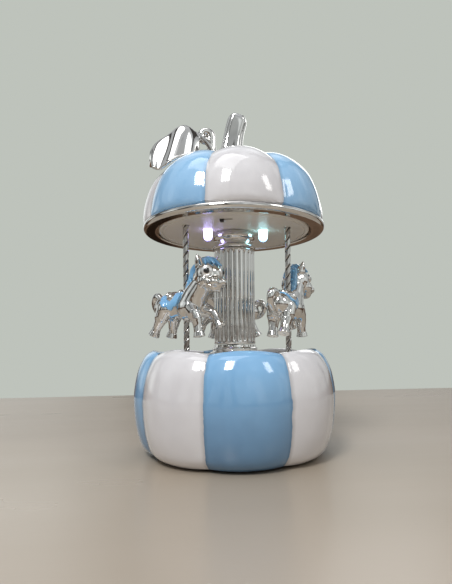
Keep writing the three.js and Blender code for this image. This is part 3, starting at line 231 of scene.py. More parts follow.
def painted_lobes(name, blue_first, low, high, blue_shaded_below, blue_above):
    """Ceramic glaze over paint that changes colour in every crease, a little unevenly by hand. The blue holds painted
    shade, darker towards the bottom, and every crease holds a thin line of painted shade.
    """
    made = surface(name, glaze_white, 0.09, coat=0.6, second=(0.74, 0.725, 0.745), patch=38, rough_by=0.045,
                   dents=0.55, dent_size=46, grain=0.012, grain_size=1500)
    nodes, link = made.node_tree.nodes, made.node_tree.links.new

    def sum_of(kind, a, b=None, c=None):
        n = nodes.new("ShaderNodeMath")
        n.operation = kind
        for socket, value in zip(n.inputs, (a, b, c)):
            if value is None:
                continue
            if isinstance(value, (int, float)):
                socket.default_value = value
            else:
                link(value, socket)
        return n.outputs[0]

    split = nodes.new("ShaderNodeSeparateXYZ")
    link(nodes["Texture Coordinate"].outputs["Object"], split.inputs[0])
    x, y, z = split.outputs
    turn = sum_of("ARCTAN2", x, sum_of("MULTIPLY", y, -1.0))
    hand = nodes.new("ShaderNodeTexNoise")
    hand.inputs["Scale"].default_value = 130
    link(nodes["Texture Coordinate"].outputs["Object"], hand.inputs["Vector"])
    wander = sum_of("MULTIPLY_ADD", hand.outputs["Fac"], 0.05, -0.025)
    lobe = sum_of("ADD", sum_of("MULTIPLY_ADD", turn, lobes / (2 * pi), 0.5), wander)
    odd = sum_of("FLOORED_MODULO", sum_of("FLOOR", lobe), 2.0)
    part = sum_of("FRACT", lobe)
    crease = sum_of("MINIMUM", part, sum_of("SUBTRACT", 1.0, part))

    # painted shade: the blue darkens towards the bottom, in blotches from the noise below
    shade_fade = nodes.new("ShaderNodeMapRange")
    shade_fade.inputs["From Min"].default_value, shade_fade.inputs["From Max"].default_value = low * mm, high * mm
    link(z, shade_fade.inputs["Value"])
    blue = nodes.new("ShaderNodeMix")
    blue.data_type = "RGBA"
    blue.inputs[6].default_value, blue.inputs[7].default_value = (*blue_shaded_below, 1), (*blue_above, 1)
    cloud = nodes.new("ShaderNodeTexNoise")
    cloud.inputs["Scale"].default_value = 60
    link(nodes["Texture Coordinate"].outputs["Object"], cloud.inputs["Vector"])
    link(sum_of("MULTIPLY_ADD", cloud.outputs["Fac"], 0.5, sum_of("SUBTRACT", shade_fade.outputs["Result"], 0.25)),
         blue.inputs[0])
    pair = nodes.new("ShaderNodeMix")
    pair.data_type = "RGBA"
    first, other = (blue.outputs[2], nodes["colour"].outputs[2])
    if not blue_first:
        first, other = other, first
    link(odd, pair.inputs[0])
    link(first, pair.inputs[6])
    link(other, pair.inputs[7])
    # painted shade: each crease is darkened to 72% in a thin line
    crease_shade = nodes.new("ShaderNodeMapRange")
    crease_shade.inputs["From Max"].default_value = 0.05
    crease_shade.inputs["To Min"].default_value, crease_shade.inputs["To Max"].default_value = 0.72, 1.0
    link(crease, crease_shade.inputs["Value"])
    deep = nodes.new("ShaderNodeMix")
    deep.data_type, deep.blend_type = "RGBA", "MULTIPLY"
    deep.inputs[0].default_value = 1.0
    link(pair.outputs[2], deep.inputs[6])
    link(crease_shade.outputs["Result"], deep.inputs[7])
    link(deep.outputs[2], nodes["Principled BSDF"].inputs["Base Color"])
    return made


def shell_at(r, h, give):
    """A point of the outline, as shares of the shell's radius and height."""
    return (r * shell_radius, shell_foot + h * (shell_top - shell_foot), give)


shell_outside = soft_line([
    shell_at(0.84, 0, 0.4), shell_at(0.897, 0.04, 0.7), shell_at(0.94, 0.11, 0.9), shell_at(0.979, 0.255, 1),
    shell_at(0.9975, 0.44, 1), shell_at(0.995, 0.6, 1), shell_at(0.963, 0.78, 1), shell_at(0.92, 0.89, 1),
    shell_at(0.875, 0.96, 1), shell_at(0.82, 0.998, 0.85), (44.6, shell_top + 0.1, 0.75),
    (42.6, shell_top - 0.5, 0.35), (well_radius, shell_top - 1.8, 0)], 5)
shell_inside = [
    (well_radius, 47, 0), (well_radius, shelf_top, 0), (shelf_radius, shelf_top, 0), (shelf_radius, shelf_low, 0),
    (hollow_radius, shelf_low, 0), (hollow_radius, 15.6, 0), (48.1, 9.6, 0), (40.1, 6.6, 0), (40.1, cover_top, 0),
    (cover_radius, cover_top, 0), (cover_radius, 1.4, 0), (44.5, shell_foot, 0)]
base_shell = turned("lower_shell", [p[:2] for p in shell_outside + shell_inside], 192, closed=True)
lobed(base_shell, shell_outside + shell_inside, shell_crease)
smooth(base_shell, 35)
dressed(base_shell, painted_lobes("glaze_lower_shell", True, 2, 52, shell_blue_shaded, shell_blue))
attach(base_shell, "base")
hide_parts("base_shell")


# ======================================================================================
# BOTTOM COVER, FEET AND COVER SCREWS
# The cover is moulded black plastic with a cup for the winding key, held by two steel screws.
# Three black rubber pads are glued to it, and the whole box stands on them.
# ======================================================================================

black_plastic = surface("moulded_black", (0.022, 0.022, 0.024), 0.42, second=(0.034, 0.034, 0.036), patch=240,
                        rough_by=0.09, grain=0.03, grain_size=3800)
rubber_black = surface("foot_rubber", (0.017, 0.018, 0.019), 0.75, second=(0.03, 0.03, 0.031), patch=500,
                       rough_by=0.12, grain=0.04, grain_size=5000)


def eased(name, finish, width=0.12):
    """A piece of the frame kept as it is, with its edges eased and this finish."""
    piece = node[name]
    weld = piece.modifiers.new("weld", "WELD")
    weld.merge_threshold = 1e-6
    if width:
        bevel = piece.modifiers.new("ease", "BEVEL")
        bevel.width, bevel.segments, bevel.limit_method = width * mm, 2, "ANGLE"
        bevel.angle_limit = radians(38)
        bevel.use_clamp_overlap = True
    return dressed(piece, finish)


eased("bottom_cover", black_plastic, 0.3)
for k in (1, 2, 3):
    low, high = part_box(f"foot_{k}")
    middle = (low + high) / 2
    top = high.z / mm
    pad = turned(f"foot_pad_{k}", [(0, 0), (1.7, 0), (2.2, 0.12), (2.5, 0.42), (2.6, 0.8), (2.5, top), (0, top)], 40)
    pad.location = (middle.x, middle.y, 0)
    pick(pad)
    bpy.ops.object.transform_apply(location=True, rotation=False, scale=False)
    smooth(pad, 40)
    dressed(pad, rubber_black)
    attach(pad, "base")
    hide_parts(f"foot_{k}")


# ======================================================================================
# STEEL SCREWS, WINDING KEY, ARBOR AND CLICK
# The key is a bent steel butterfly on a drilled hub, screwed to the arbor that winds the spring.
# The click is a steel pawl whose nose drops between the teeth of a brass ratchet wheel.
# ======================================================================================

steel = surface("bright_steel", (0.58, 0.58, 0.59), 0.27, 1.0, second=(0.47, 0.47, 0.48), patch=170,
                rough_by=0.08, grain=0.012, grain_size=2600, stretch=(1, 1, 5))
dark_steel = surface("blued_steel", (0.33, 0.34, 0.37), 0.32, 1.0, second=(0.24, 0.25, 0.29), patch=210,
                     rough_by=0.08, grain=0.01, grain_size=2400)
brass = surface("rolled_brass", (0.72, 0.53, 0.22), 0.25, 1.0, second=(0.58, 0.40, 0.16), patch=140,
                rough_by=0.08, grain=0.012, grain_size=2600, stretch=(1, 1, 4))

for name, width in (("cover_screw_1", 0.1), ("cover_screw_2", 0.1), ("winding_key", 0.25), ("winding_arbor", 0.1),
                    ("click_pawl", 0.1), ("click_spring", 0.08)):
    eased(name, steel, width)
eased("ratchet_wheel", brass, 0.06)


# ======================================================================================
# MOVEMENT
# A steel bed carries an eighteen-note comb, a pinned brass cylinder and the governor's cage.
# The brass spring barrel stands on the middle axis and turns the cage through its square.
# ======================================================================================

for name, width in (("bedplate", 0.15), ("governor_bracket", 0.1), ("bed_screw_1", 0.1), ("bed_screw_2", 0.1),
                    ("cylinder_arbor", 0.05)):
    eased(name, steel, width)
for name in ("comb", "governor", "mainspring"):
    eased(name, dark_steel, 0.04)
for name, width in (("spring_barrel", 0.1), ("barrel_lid", 0.12), ("pinned_cylinder", 0.0), ("cylinder_wheel", 0.05),
                    ("idler_wheel", 0.04), ("comb_screw_1", 0.1), ("comb_screw_2", 0.1)):
    eased(name, brass, width)


# ======================================================================================
# WAVE TRACK AND TURNTABLE
# The track is a moulded ring that rises and falls under the pole feet and stays still.
# The turntable is a smooth cream disc on the spring barrel's square, with three pole holes.
# ======================================================================================

cream = surface("cream_moulding", (0.78, 0.74, 0.68), 0.36, second=(0.71, 0.67, 0.61), patch=70, rough_by=0.07,
                dents=0.08, dent_size=120, grain=0.016, grain_size=3600)
eased("wave_track", cream, 0.2)

deck_low, deck_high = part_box("turntable")
deck_top, hub_low = deck_high.z / mm, deck_low.z / mm
deck_radius = deck_high.x / mm
deck = turned("deck_disc", [
    (2.4, hub_low), (6.6, hub_low), (7, hub_low + 0.4), (7, deck_top - 3.1), (7.6, deck_top - 2.5),
    (deck_radius - 0.5, deck_top - 2.5), (deck_radius, deck_top - 2.1), (deck_radius, deck_top - 0.5),
    (deck_radius - 0.5, deck_top), (38.6, deck_top), (38.3, deck_top - 0.35), (37.7, deck_top - 0.35),
    (37.4, deck_top), (15.6, deck_top), (15.3, deck_top - 0.3), (14.8, deck_top - 0.3), (14.5, deck_top),
    (2.4, deck_top)], 144, closed=True)

pole_hole = 1.85
pole_at = []
for k in (1, 2, 3):
    low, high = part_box(f"pole_{k}")
    pole_at.append(((low.x + high.x) / 2 / mm, (low.y + high.y) / 2 / mm))


def bored(piece, cutters):
    """Cuts these solids out of the piece and throws them away."""
    pick(*cutters)
    if len(cutters) > 1:
        bpy.ops.object.join()
    cutter = bpy.context.object
    bore = piece.modifiers.new("bore", "BOOLEAN")
    bore.object, bore.operation, bore.solver = cutter, "DIFFERENCE", "EXACT"
    bore.use_self = len(cutters) > 1
    apply_all(piece)
    bpy.data.objects.remove(cutter)
    return piece


def drill(x, y, radius, low, high, sides=32):
    """A round cutter, for a hole from low to high."""
    bare()
    bpy.ops.mesh.primitive_cylinder_add(
        vertices=sides, radius=radius * mm, depth=(high - low) * mm, location=(x * mm, y * mm, (low + high) / 2 * mm))
    return bpy.context.object


bored(deck, [drill(x, y, pole_hole, deck_top - 4, deck_top + 1) for x, y in pole_at])
smooth(deck, 30)
dressed(deck, cream)
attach(deck, "carousel")
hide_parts("turntable")


# ======================================================================================
# FLUTED COLUMN
# A chrome-plated sleeve with 24 rounded ribs stands between a stepped plinth and a beaded
# capital. A steel spindle runs up the middle to a nut that draws ceiling and deck together.
# ======================================================================================

chrome = surface("polished_plating", (0.76, 0.755, 0.745), 0.065, 1.0, second=(0.68, 0.665, 0.64), patch=60,
                 rough_by=0.03, dents=0.05, dent_size=160, grain=0.003, grain_size=2200)
ribs, rib_depth, rib_end, rib_run_out = 24, 0.95, 1.6, 1.5
plinth_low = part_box("column_plinth")[0]
shaft_low, shaft_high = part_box("column_shaft")
capital_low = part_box("column_capital")[0]
sleeve_radius, bore_radius = 11.4, 8.5


def rib_share(x, y, z):
    """Between two ribs the metal dips, and the dips run out in rounded ends."""
    if hypot(x, y) < sleeve_radius - 0.5:
        return 0.0
    from_end = min(z - shaft_low.z / mm, shaft_high.z / mm - z) - rib_end
    ends = 0.0 if from_end <= 0 else min(1.0, from_end / rib_run_out) ** 0.5
    t = from_crest(x, y, ribs)
    return ends * (1 - (1 - min(1.0, t) ** 2.6) ** 0.5)


zl, zh = shaft_low.z / mm, shaft_high.z / mm
rows = [zl + 0.3, zl + 1.5, zl + 1.7, zl + 2.0, zl + 2.4, zl + 2.9, zl + 3.4]
rows += [zl + 3.4 + (zh - zl - 6.8) * k / 8 for k in range(1, 8)]
rows += [zh - 3.4, zh - 2.9, zh - 2.4, zh - 2.0, zh - 1.7, zh - 1.5, zh - 0.3]
shaft = turned("fluted_sleeve", [(bore_radius, zl), (sleeve_radius - 0.3, zl)] + [(sleeve_radius, z) for z in rows]
               + [(sleeve_radius - 0.3, zh), (bore_radius, zh)], ribs * 12, closed=True)
pressed(shaft, rib_depth, rib_share)
smooth(shaft, 50)

zl = plinth_low.z / mm
plinth = turned("column_foot", [(bore_radius, zl)] + soft_line([
    (13.7, zl), (14, zl + 0.35), (14, zl + 1.0), (13.6, zl + 1.35), (12.9, zl + 1.6), (12.55, zl + 2.2),
    (12.7, zl + 2.9), (12.5, zl + 3.5), (11.9, zl + 3.9), (11.75, zl + 4.5), (11.6, zl + 5.2)], 3)
    + [(bore_radius, zl + 5.2)], 120, closed=True)
zl = capital_low.z / mm
capital = turned("column_head", [(bore_radius, zl)] + soft_line([
    (11.5, zl), (12.0, zl + 0.5), (12.1, zl + 1.1), (11.8, zl + 1.7), (11.1, zl + 2.1), (10.7, zl + 3.0),
    (10.65, zl + 4.2), (11.0, zl + 5.1), (11.6, zl + 5.7), (11.9, zl + 6.5), (11.8, zl + 7.5), (11.3, zl + 8.3),
    (11.0, zl + 9.0)], 3) + [(bore_radius, zl + 9.0)], 120, closed=True)
for piece, frame_node in ((shaft, "column_shaft"), (plinth, "column_plinth"), (capital, "column_capital")):
    smooth(piece, 50)
    dressed(piece, chrome)
    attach(piece, "carousel")
    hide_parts(frame_node)
eased("spindle", steel, 0.15)
eased("spindle_nut", steel, 0.25)


# ======================================================================================
# TWISTED POLES
# Each pony hangs on a 3 mm steel bar rolled with a two-start right-hand groove. A rubber cap
# on its lower end rides on the wave track, and its top slides in the ceiling.
# ======================================================================================

pole_steel = surface("polished_bar", (0.60, 0.59, 0.575), 0.16, 1.0, second=(0.47, 0.455, 0.44), patch=200,
                     rough_by=0.05, grain=0.006, grain_size=2600)
# painted shadow: the faces in the two grooves get this dark steel colour
groove_shadow_steel = surface("groove_shadow", (0.10, 0.095, 0.09), 0.40, 1.0, second=(0.15, 0.14, 0.13), patch=260,
                       rough_by=0.06, grain=0.006, grain_size=2600)
pole_low, pole_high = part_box("pole_1")
cap_height, bar_radius, groove_depth, groove_start, twist_lead = 2.4, 1.5, 0.26, 0.88, 9.9
bar_low, bar_high = pole_low.z / mm + cap_height, pole_high.z / mm
bare()
bpy.ops.mesh.primitive_circle_add(vertices=56, radius=bar_radius * mm, fill_type="NOTHING", location=(0, 0, 0))
bar = bpy.context.object
bar.name = "twisted_bar"


def groove(x, y):
    """The bar's section gives way in two opposite narrow grooves."""
    a = atan2(y, x)
    return max(0.0, abs(cos(a)) - groove_start) / 0.12


for v in bar.data.vertices:
    v.co *= 1 - groove_depth * groove(v.co.x, v.co.y) ** 0.6
pick(bar)
bpy.ops.object.mode_set(mode="EDIT")
bpy.ops.mesh.select_all(action="SELECT")
bpy.ops.transform.translate(value=(0, 0, bar_low * mm))
bpy.ops.object.mode_set(mode="OBJECT")
twist = bar.modifiers.new("twist", "SCREW")
twist.axis, twist.screw_offset = "Z", (bar_high - bar_low) * mm
twist.angle = (bar_high - bar_low) / twist_lead * 2 * pi
twist.steps = twist.render_steps = 260
twist.use_normal_calculate = True
apply_all(bar)
bpy.ops.object.mode_set(mode="EDIT")
bpy.ops.mesh.select_all(action="SELECT")
bpy.ops.mesh.remove_doubles(threshold=1e-6)
bpy.ops.mesh.select_all(action="DESELECT")
bpy.ops.mesh.select_non_manifold()
bpy.ops.mesh.edge_face_add()
bpy.ops.mesh.select_all(action="SELECT")
bpy.ops.mesh.fill_holes(sides=0)
bpy.ops.mesh.normals_make_consistent(inside=False)
bpy.ops.object.mode_set(mode="OBJECT")
smooth(bar, 60)
dressed(bar, pole_steel)
bar.data.materials.append(groove_shadow_steel)
# the groove faces take the painted groove shadow
for face in bar.data.polygons:
    if max(hypot(*bar.data.vertices[k].co.xy) for k in face.vertices) < 1.36 * mm:
        face.material_index = 1
cap = turned("pole_cap", [
    (0, bar_low - cap_height), (1.3, bar_low - cap_height), (2.0, bar_low - 2.0), (2.4, bar_low - 1.3),
    (2.4, bar_low + 0.2), (2.2, bar_low + 0.6), (0, bar_low + 0.6)], 32)
smooth(cap, 40)
dressed(cap, rubber_black)


def copy_to(piece, name, x=0.0, y=0.0, z=0.0, turn=0.0):
    """A copy with its own mesh, turned about its pole and set down at x, y, z in mm."""
    pick(piece)
    bpy.ops.object.duplicate(linked=False)
    made = bpy.context.object
    made.name = made.data.name = name
    made.location, made.rotation_euler = (x * mm, y * mm, z * mm), (0, 0, radians(turn))
    bpy.ops.object.transform_apply(location=True, rotation=True, scale=True)
    return made


for k, (x, y) in enumerate(pole_at, 1):
    pole = copy_to(bar, f"pole_bar_{k}", x, y, 0, 40 * k)
    tip = copy_to(cap, f"pole_cap_{k}", x, y)
    for piece in (pole, tip):
        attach(piece, f"pony_{k}")
    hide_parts(f"pole_{k}")
bpy.data.objects.remove(bar)
bpy.data.objects.remove(cap)


# ======================================================================================
# PONIES
# Three plump zinc castings, plated bright, each with its head turned to its right. The hair
# and the saddle cloth are blue enamel, and the eyes are domed black beads in plated rings.
# ======================================================================================

enamel = surface("blue_enamel", (0.20, 0.47, 0.80), 0.12, coat=0.7, second=(0.25, 0.55, 0.86), patch=110,
                 rough_by=0.05, dents=0.10, dent_size=260, grain=0.004, grain_size=2400)
eye_silver = surface("eye_ring", (0.93, 0.93, 0.92), 0.30, 1.0, second=(0.86, 0.86, 0.86), patch=400, rough_by=0.06,
                     grain=0.004, grain_size=2400)
eye_black = surface("eye_bead", (0.006, 0.006, 0.008), 0.06, coat=0.8, second=(0.012, 0.012, 0.016), patch=300,
                    rough_by=0.03, specular=0.6)
pony_turns = (-36, 57, 176)
hoof_level = deck_top + 9.4 - 0.05
head_turn = -26
face_turn = radians(head_turn)
face = Vector((cos(face_turn), sin(face_turn), 0))
cheek = Vector((-sin(face_turn), cos(face_turn), 0))
head = Vector((14, 0, 31.4))


def on_head(ahead, left, up):
    """A point measured from the middle of the turned head."""
    return head + face * ahead + cheek * left + Vector((0, 0, up))


def egg(at, size, pitch=0.0, turn=0.0):
    """A round lump; pitch lifts its nose and turn swings it to the left, in degrees."""
    bare()
    bpy.ops.mesh.primitive_uv_sphere_add(segments=28, ring_count=18, radius=mm, location=[c * mm for c in at],
                                         rotation=(0, -radians(pitch), radians(turn)), scale=size)
    return bpy.context.object


def branch(path, sizes):
    """A rounded, tapering limb through these points, with these radii."""
    parts = []
    points = [Vector(p) for p in path]
    for a, b, r, s in zip(points, points[1:], sizes, sizes[1:]):
        along = b - a
        if along.length < 1e-6:
            continue
        bare()
        bpy.ops.mesh.primitive_cone_add(
            vertices=24, radius1=r * mm, radius2=s * mm, depth=along.length * mm, location=(a + b) / 2 * mm,
            rotation=along.to_track_quat("Z", "Y").to_euler())
        parts.append(bpy.context.object)
    for p, r in zip(points, sizes):
        parts.append(egg(p, (r, r, r)))
    return parts


def cast(name, parts, voxel=0.36, rounds=5, keep=1.0):
    """Runs the lumps together into one skin, as in a casting."""
    pick(*parts)
    bpy.ops.object.join()
    piece = bpy.context.object
    piece.name = piece.data.name = name
    bpy.ops.object.transform_apply(location=True, rotation=True, scale=True)
    melt = piece.modifiers.new("melt", "REMESH")
    melt.mode, melt.voxel_size, melt.adaptivity = "VOXEL", voxel * mm, 0.0
    ease = piece.modifiers.new("ease", "SMOOTH")
    ease.factor, ease.iterations = 0.5, rounds
    if keep < 1:
        thin = piece.modifiers.new("thin", "DECIMATE")
        thin.ratio = keep
    apply_all(piece)
    bpy.ops.object.shade_smooth()
    return piece


def curl(points, start, end, cuts=5):
    """A smooth path with radii that run from start to end."""
    path = soft_line(points, cuts)
    return path, [start + (end - start) * (k / (len(path) - 1)) for k in range(len(path))]


legs = [
    ([(-11, -3.4, 15), (-13.0, -3.8, 11.4), (-14.6, -4.0, 8.6), (-16.4, -4.0, 5.6), (-17.7, -4.0, 3.2)],
     [4.7, 4.0, 3.0, 2.35, 2.5]),
    ([(-10, 3.4, 15), (-10.8, 3.8, 11.4), (-11.2, 4.0, 8.2), (-12.0, 4.0, 4.8), (-12.6, 4.0, 2.3)],
     [4.7, 4.0, 3.0, 2.35, 2.5]),
    ([(4.4, -3.2, 15.6), (7.0, -3.7, 12.6), (9.0, -4.0, 9.8), (9.8, -4.0, 5.8), (10.4, -4.0, 2.4)],
     [4.5, 3.8, 2.9, 2.3, 2.45]),
    ([(5.2, 3.2, 16), (9.6, 3.7, 14.2), (13.4, 4.0, 12.8), (15.8, 4.0, 9.8), (17.2, 4.0, 7.4)],
     [4.5, 3.8, 2.9, 2.3, 2.45]),
]
lumps = [
    egg((-4.5, 0, 16.6), (11.4, 6.2, 6.6), 14), egg((-13.0, 0, 16.6), (6.4, 6.1, 5.9)),
    egg((1.8, 0, 17.2), (6.8, 6.4, 6.9)), egg((4.6, 0, 19.2), (5.4, 5.2, 5.6)),
    egg(head, (7.4, 7.4, 7.2)),
    egg(on_head(-2.2, 0, -1.0), (7.0, 7.2, 6.8), 0, head_turn),
    egg(on_head(5.4, 0, -4.7), (5.2, 5.3, 4.0), -14, head_turn),
    egg(on_head(8.6, 2.2, -4.4), (2.6, 2.7, 2.3), 0, head_turn),
    egg(on_head(8.6, -2.2, -4.4), (2.6, 2.7, 2.3), 0, head_turn),
    egg(on_head(6.8, 0, -7.4), (3.1, 3.4, 1.9), -8, head_turn),
    egg(on_head(3.0, 5.0, -3.4), (3.6, 2.6, 3.2), 0, head_turn),
    egg(on_head(3.0, -5.0, -3.4), (3.6, 2.6, 3.2), 0, head_turn),
]
lumps += branch([(2.6, 0, 15.5), (5.6, 0, 21), (9.2, 0, 26), (12, 0, 29.5)], [7.4, 6.6, 5.8, 5.4])
for side in (-1, 1):
    lumps += branch([on_head(-1.2, side * 4.3, 4.6), on_head(-1.0, side * 5.3, 7.4), on_head(-0.8, side * 6.2, 10.2)],
                    [2.7, 2.0, 0.45])
tail_path, tail_sizes = curl([(-15.6, 0, 19.4), (-18.0, 0.4, 22.0), (-20.6, 1.0, 22.4), (-22.0, 1.4, 20.0),
                              (-21.6, 1.4, 16.8), (-20.0, 1.0, 14.2), (-17.8, 0.4, 12.8)], 2.0, 0.9, 4)
tail_sizes = [r * (1 + 0.35 * sin(pi * k / len(tail_sizes))) for k, r in enumerate(tail_sizes)]
lumps += branch(tail_path, tail_sizes)
for path, sizes in legs:
    lumps += branch(path, sizes)
pony = cast("pony_form", lumps, 0.36, 6)

hooves = []
for path, sizes in legs:
    end, before = Vector(path[-1]), Vector(path[-2])
    along = (end - before).normalized()
    bare()
    bpy.ops.mesh.primitive_cone_add(vertices=32, radius1=2.5 * mm, radius2=3.1 * mm, depth=2.8 * mm,
                                    location=(end + along * 0.6) * mm,
                                    rotation=along.to_track_quat("Z", "Y").to_euler())
    hoof = bpy.context.object
    bpy.ops.object.transform_apply(location=False, rotation=False, scale=False)
    bpy.ops.object.mode_set(mode="EDIT")
    bpy.ops.mesh.select_all(action="SELECT")
    bpy.ops.mesh.bevel(offset=0.35 * mm, segments=3, affect="EDGES")
    bpy.ops.object.mode_set(mode="OBJECT")
    hooves.append(hoof)

mouth = []
for side in (-1, 1):
    mouth += branch(soft_line([on_head(10.9, 0, -5.9), on_head(10.2, side * 2.4, -6.2),
                               on_head(8.0, side * 4.7, -5.6), on_head(5.8, side * 6.0, -4.2)], 5),
                    [0.42] * 16)
for side in (-1, 1):
    mouth.append(egg(on_head(10.5, side * 1.9, -3.0), (0.9, 0.55, 0.6), 0, head_turn))
    mouth += branch([on_head(1.1, side * 4.7, 5.6), on_head(0.9, side * 5.4, 7.8), on_head(0.3, side * 6.0, 9.3)],
                    [1.35, 0.95, 0.2])
mouth = cast("mouth_cut", mouth, 0.2, 1)
bored(pony, [mouth])
pick(pony)
bpy.ops.object.shade_smooth()

# the saddle cloth follows the body just outside it, between a scalloped edge and the back
cloth = copy_to(pony, "cloth_form")
grow = cloth.modifiers.new("grow", "DISPLACE")
grow.direction, grow.mid_level, grow.strength = "NORMAL", 0.0, 0.75 * mm
apply_all(cloth)
edge = [(-12.4, 33), (-12.9, 24), (-12.7, 20.6), (-11.7, 18.2), (-10.8, 17.6), (-9.9, 16.2), (-8.7, 15.8), (-7.8, 16.3),
        (-6.9, 14.7), (-5.6, 14.0), (-4.4, 14.8), (-3.7, 16.2), (-2.8, 15.9), (-1.8, 17.2), (-1.2, 19.4), (-0.7, 22),
        (-1.4, 26), (-1.8, 33)]
bare()
bpy.ops.mesh.primitive_plane_add(size=mm)
blank = bpy.context.object
bpy.ops.object.mode_set(mode="EDIT")
bpy.ops.mesh.merge(type="CENTER")
bpy.ops.transform.translate(value=(edge[0][0] * mm, -13 * mm, edge[0][1] * mm))
for here, there in zip(edge, edge[1:]):
    bpy.ops.mesh.extrude_region_move(
        TRANSFORM_OT_translate={"value": ((there[0] - here[0]) * mm, 0, (there[1] - here[1]) * mm)})
bpy.ops.mesh.select_all(action="SELECT")
bpy.ops.mesh.edge_face_add()
bpy.ops.mesh.extrude_region_move(TRANSFORM_OT_translate={"value": (0, 26 * mm, 0)})
bpy.ops.mesh.select_all(action="SELECT")
bpy.ops.mesh.normals_make_consistent(inside=False)
bpy.ops.object.mode_set(mode="OBJECT")
only = cloth.modifiers.new("only", "BOOLEAN")
only.object, only.operation, only.solver = blank, "INTERSECT", "EXACT"
apply_all(cloth)
bpy.data.objects.remove(blank)
melt = cloth.modifiers.new("melt", "REMESH")
melt.mode, melt.voxel_size = "VOXEL", 0.3 * mm
ease = cloth.modifiers.new("ease", "SMOOTH")
ease.factor, ease.iterations = 0.5, 3
apply_all(cloth)
bpy.ops.object.shade_smooth()
dressed(cloth, enamel)

# the seat's flaps lie on the cloth, and its back and front rise a little
seat = [egg((-6.4, 0, 20.6), (3.7, 7.0, 3.9), 8), egg((-10.2, 0, 22.6), (1.7, 3.6, 2.0)),
        egg((-3.0, 0, 23.6), (1.4, 2.6, 1.9))]
seat = cast("seat_form", seat, 0.28, 4)
pick(pony, seat, *hooves)
bpy.ops.object.join()
dressed(pony, chrome)

# the hair: a forelock swept between the ears and a ridge of locks down the neck
locks = [egg(on_head(0.6, -0.4, 6.6), (3.6, 3.3, 2.5), 10, head_turn),
         egg(on_head(-3.4, 0.2, 5.6), (3.6, 3.2, 3.2), 0, head_turn),
         egg(on_head(-4.7, 0, 0.8), (4.0, 4.9, 6.4), 0, head_turn)]
for start, middle, end, thick in (
        ((-2, 0.0, 8.0), (3.6, 0.8, 7.6), (6.2, 2.6, 4.4), 1.75),
        ((-2, -1.6, 7.8), (3.2, -1.4, 7.9), (6.6, -0.6, 5.2), 1.75),
        ((-2, 1.8, 7.4), (2.2, 2.8, 7.2), (4.4, 4.6, 4.8), 1.4),
        ((-2, -2.8, 7.2), (1.8, -3.4, 7.2), (4.2, -4.4, 5.2), 1.35)):
    path, sizes = curl([on_head(*start), on_head(*middle), on_head(*end)], thick, 0.5, 7)
    locks += branch(path, sizes)
for k in range(6):
    t = k / 5
    root = Vector((9.2 - 6.6 * t, 0, 36.6 - 15.0 * t))
    for side in (-1, 1):
        path, sizes = curl([root, root + Vector((-2.2, side * 1.5, -0.4)),
                            root + Vector((-4.0 + 1.8 * t, side * 2.5, -3.4)),
                            root + Vector((-3.2 + 2.2 * t, side * 2.9, -6.0 + t))], 1.9, 0.55, 4)
        locks += branch(path, sizes)
hair = cast("hair_form", locks, 0.3, 3)
dressed(hair, enamel)

# each eye is a bead in a raised ring, looking out from the side of the face
beads, rings = [], []
for side in (-1, 1):
    look = (face * 0.80 + cheek * side * 0.60 + Vector((0, 0, 0.06))).normalized()
    centre = on_head(-0.2, side * 0.2, 0.9) + look * 6.9
    facing = look.to_track_quat("Z", "Y").to_euler()
    bare()
    bpy.ops.mesh.primitive_uv_sphere_add(segments=32, ring_count=20, radius=mm, location=centre * mm,
                                         rotation=facing, scale=(2.5, 2.5, 1.15))
    rings.append(bpy.context.object)
    bare()
    bpy.ops.mesh.primitive_torus_add(major_radius=2.3 * mm, minor_radius=0.5 * mm, major_segments=40,
                                     minor_segments=12, location=(centre + look * 0.25) * mm, rotation=facing)
    rings.append(bpy.context.object)
    bare()
    bpy.ops.mesh.primitive_uv_sphere_add(segments=32, ring_count=20, radius=mm, location=(centre + look * 0.55) * mm,
                                         rotation=facing, scale=(1.6, 1.6, 1.0))
    beads.append(bpy.context.object)
pick(*beads)
bpy.ops.object.join()
bpy.ops.object.transform_apply(location=True, rotation=True, scale=True)
beads = bpy.context.object
bpy.ops.object.shade_smooth()
dressed(beads, eye_black)
pick(*rings)
bpy.ops.object.join()
bpy.ops.object.transform_apply(location=True, rotation=True, scale=True)
rings = bpy.context.object
bpy.ops.object.shade_smooth()
dressed(rings, eye_silver)

for k, (x, y) in enumerate(pole_at, 1):
    for form, label, replaced, slot_name in (
            (pony, "pony_body", f"pony_{k}", "plated"), (cloth, "saddle_cloth", f"saddle_{k}", "pale_blue"),
            (hair, "pony_hair", f"mane_{k}", "pale_blue"), (beads, "eye_beads", None, "black_plastic"),
            (rings, "eye_rings", None, "plated")):
        piece = copy_to(form, f"{label}_{k}", x, y, hoof_level, pony_turns[k - 1])
        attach(piece, f"pony_{k}")
        if replaced:
            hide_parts(replaced)
for form in (pony, cloth, hair, beads, rings):
    bpy.data.objects.remove(form)


# ======================================================================================
# CEILING, LAMPS, LAMP BOARD, BATTERY AND SWITCH
# A cream moulded disc closes the canopy from below. Three 5 mm lamps on a green board shine
# through it, fed by a coin cell, and a black lever beside the front lobe switches them.
# ======================================================================================

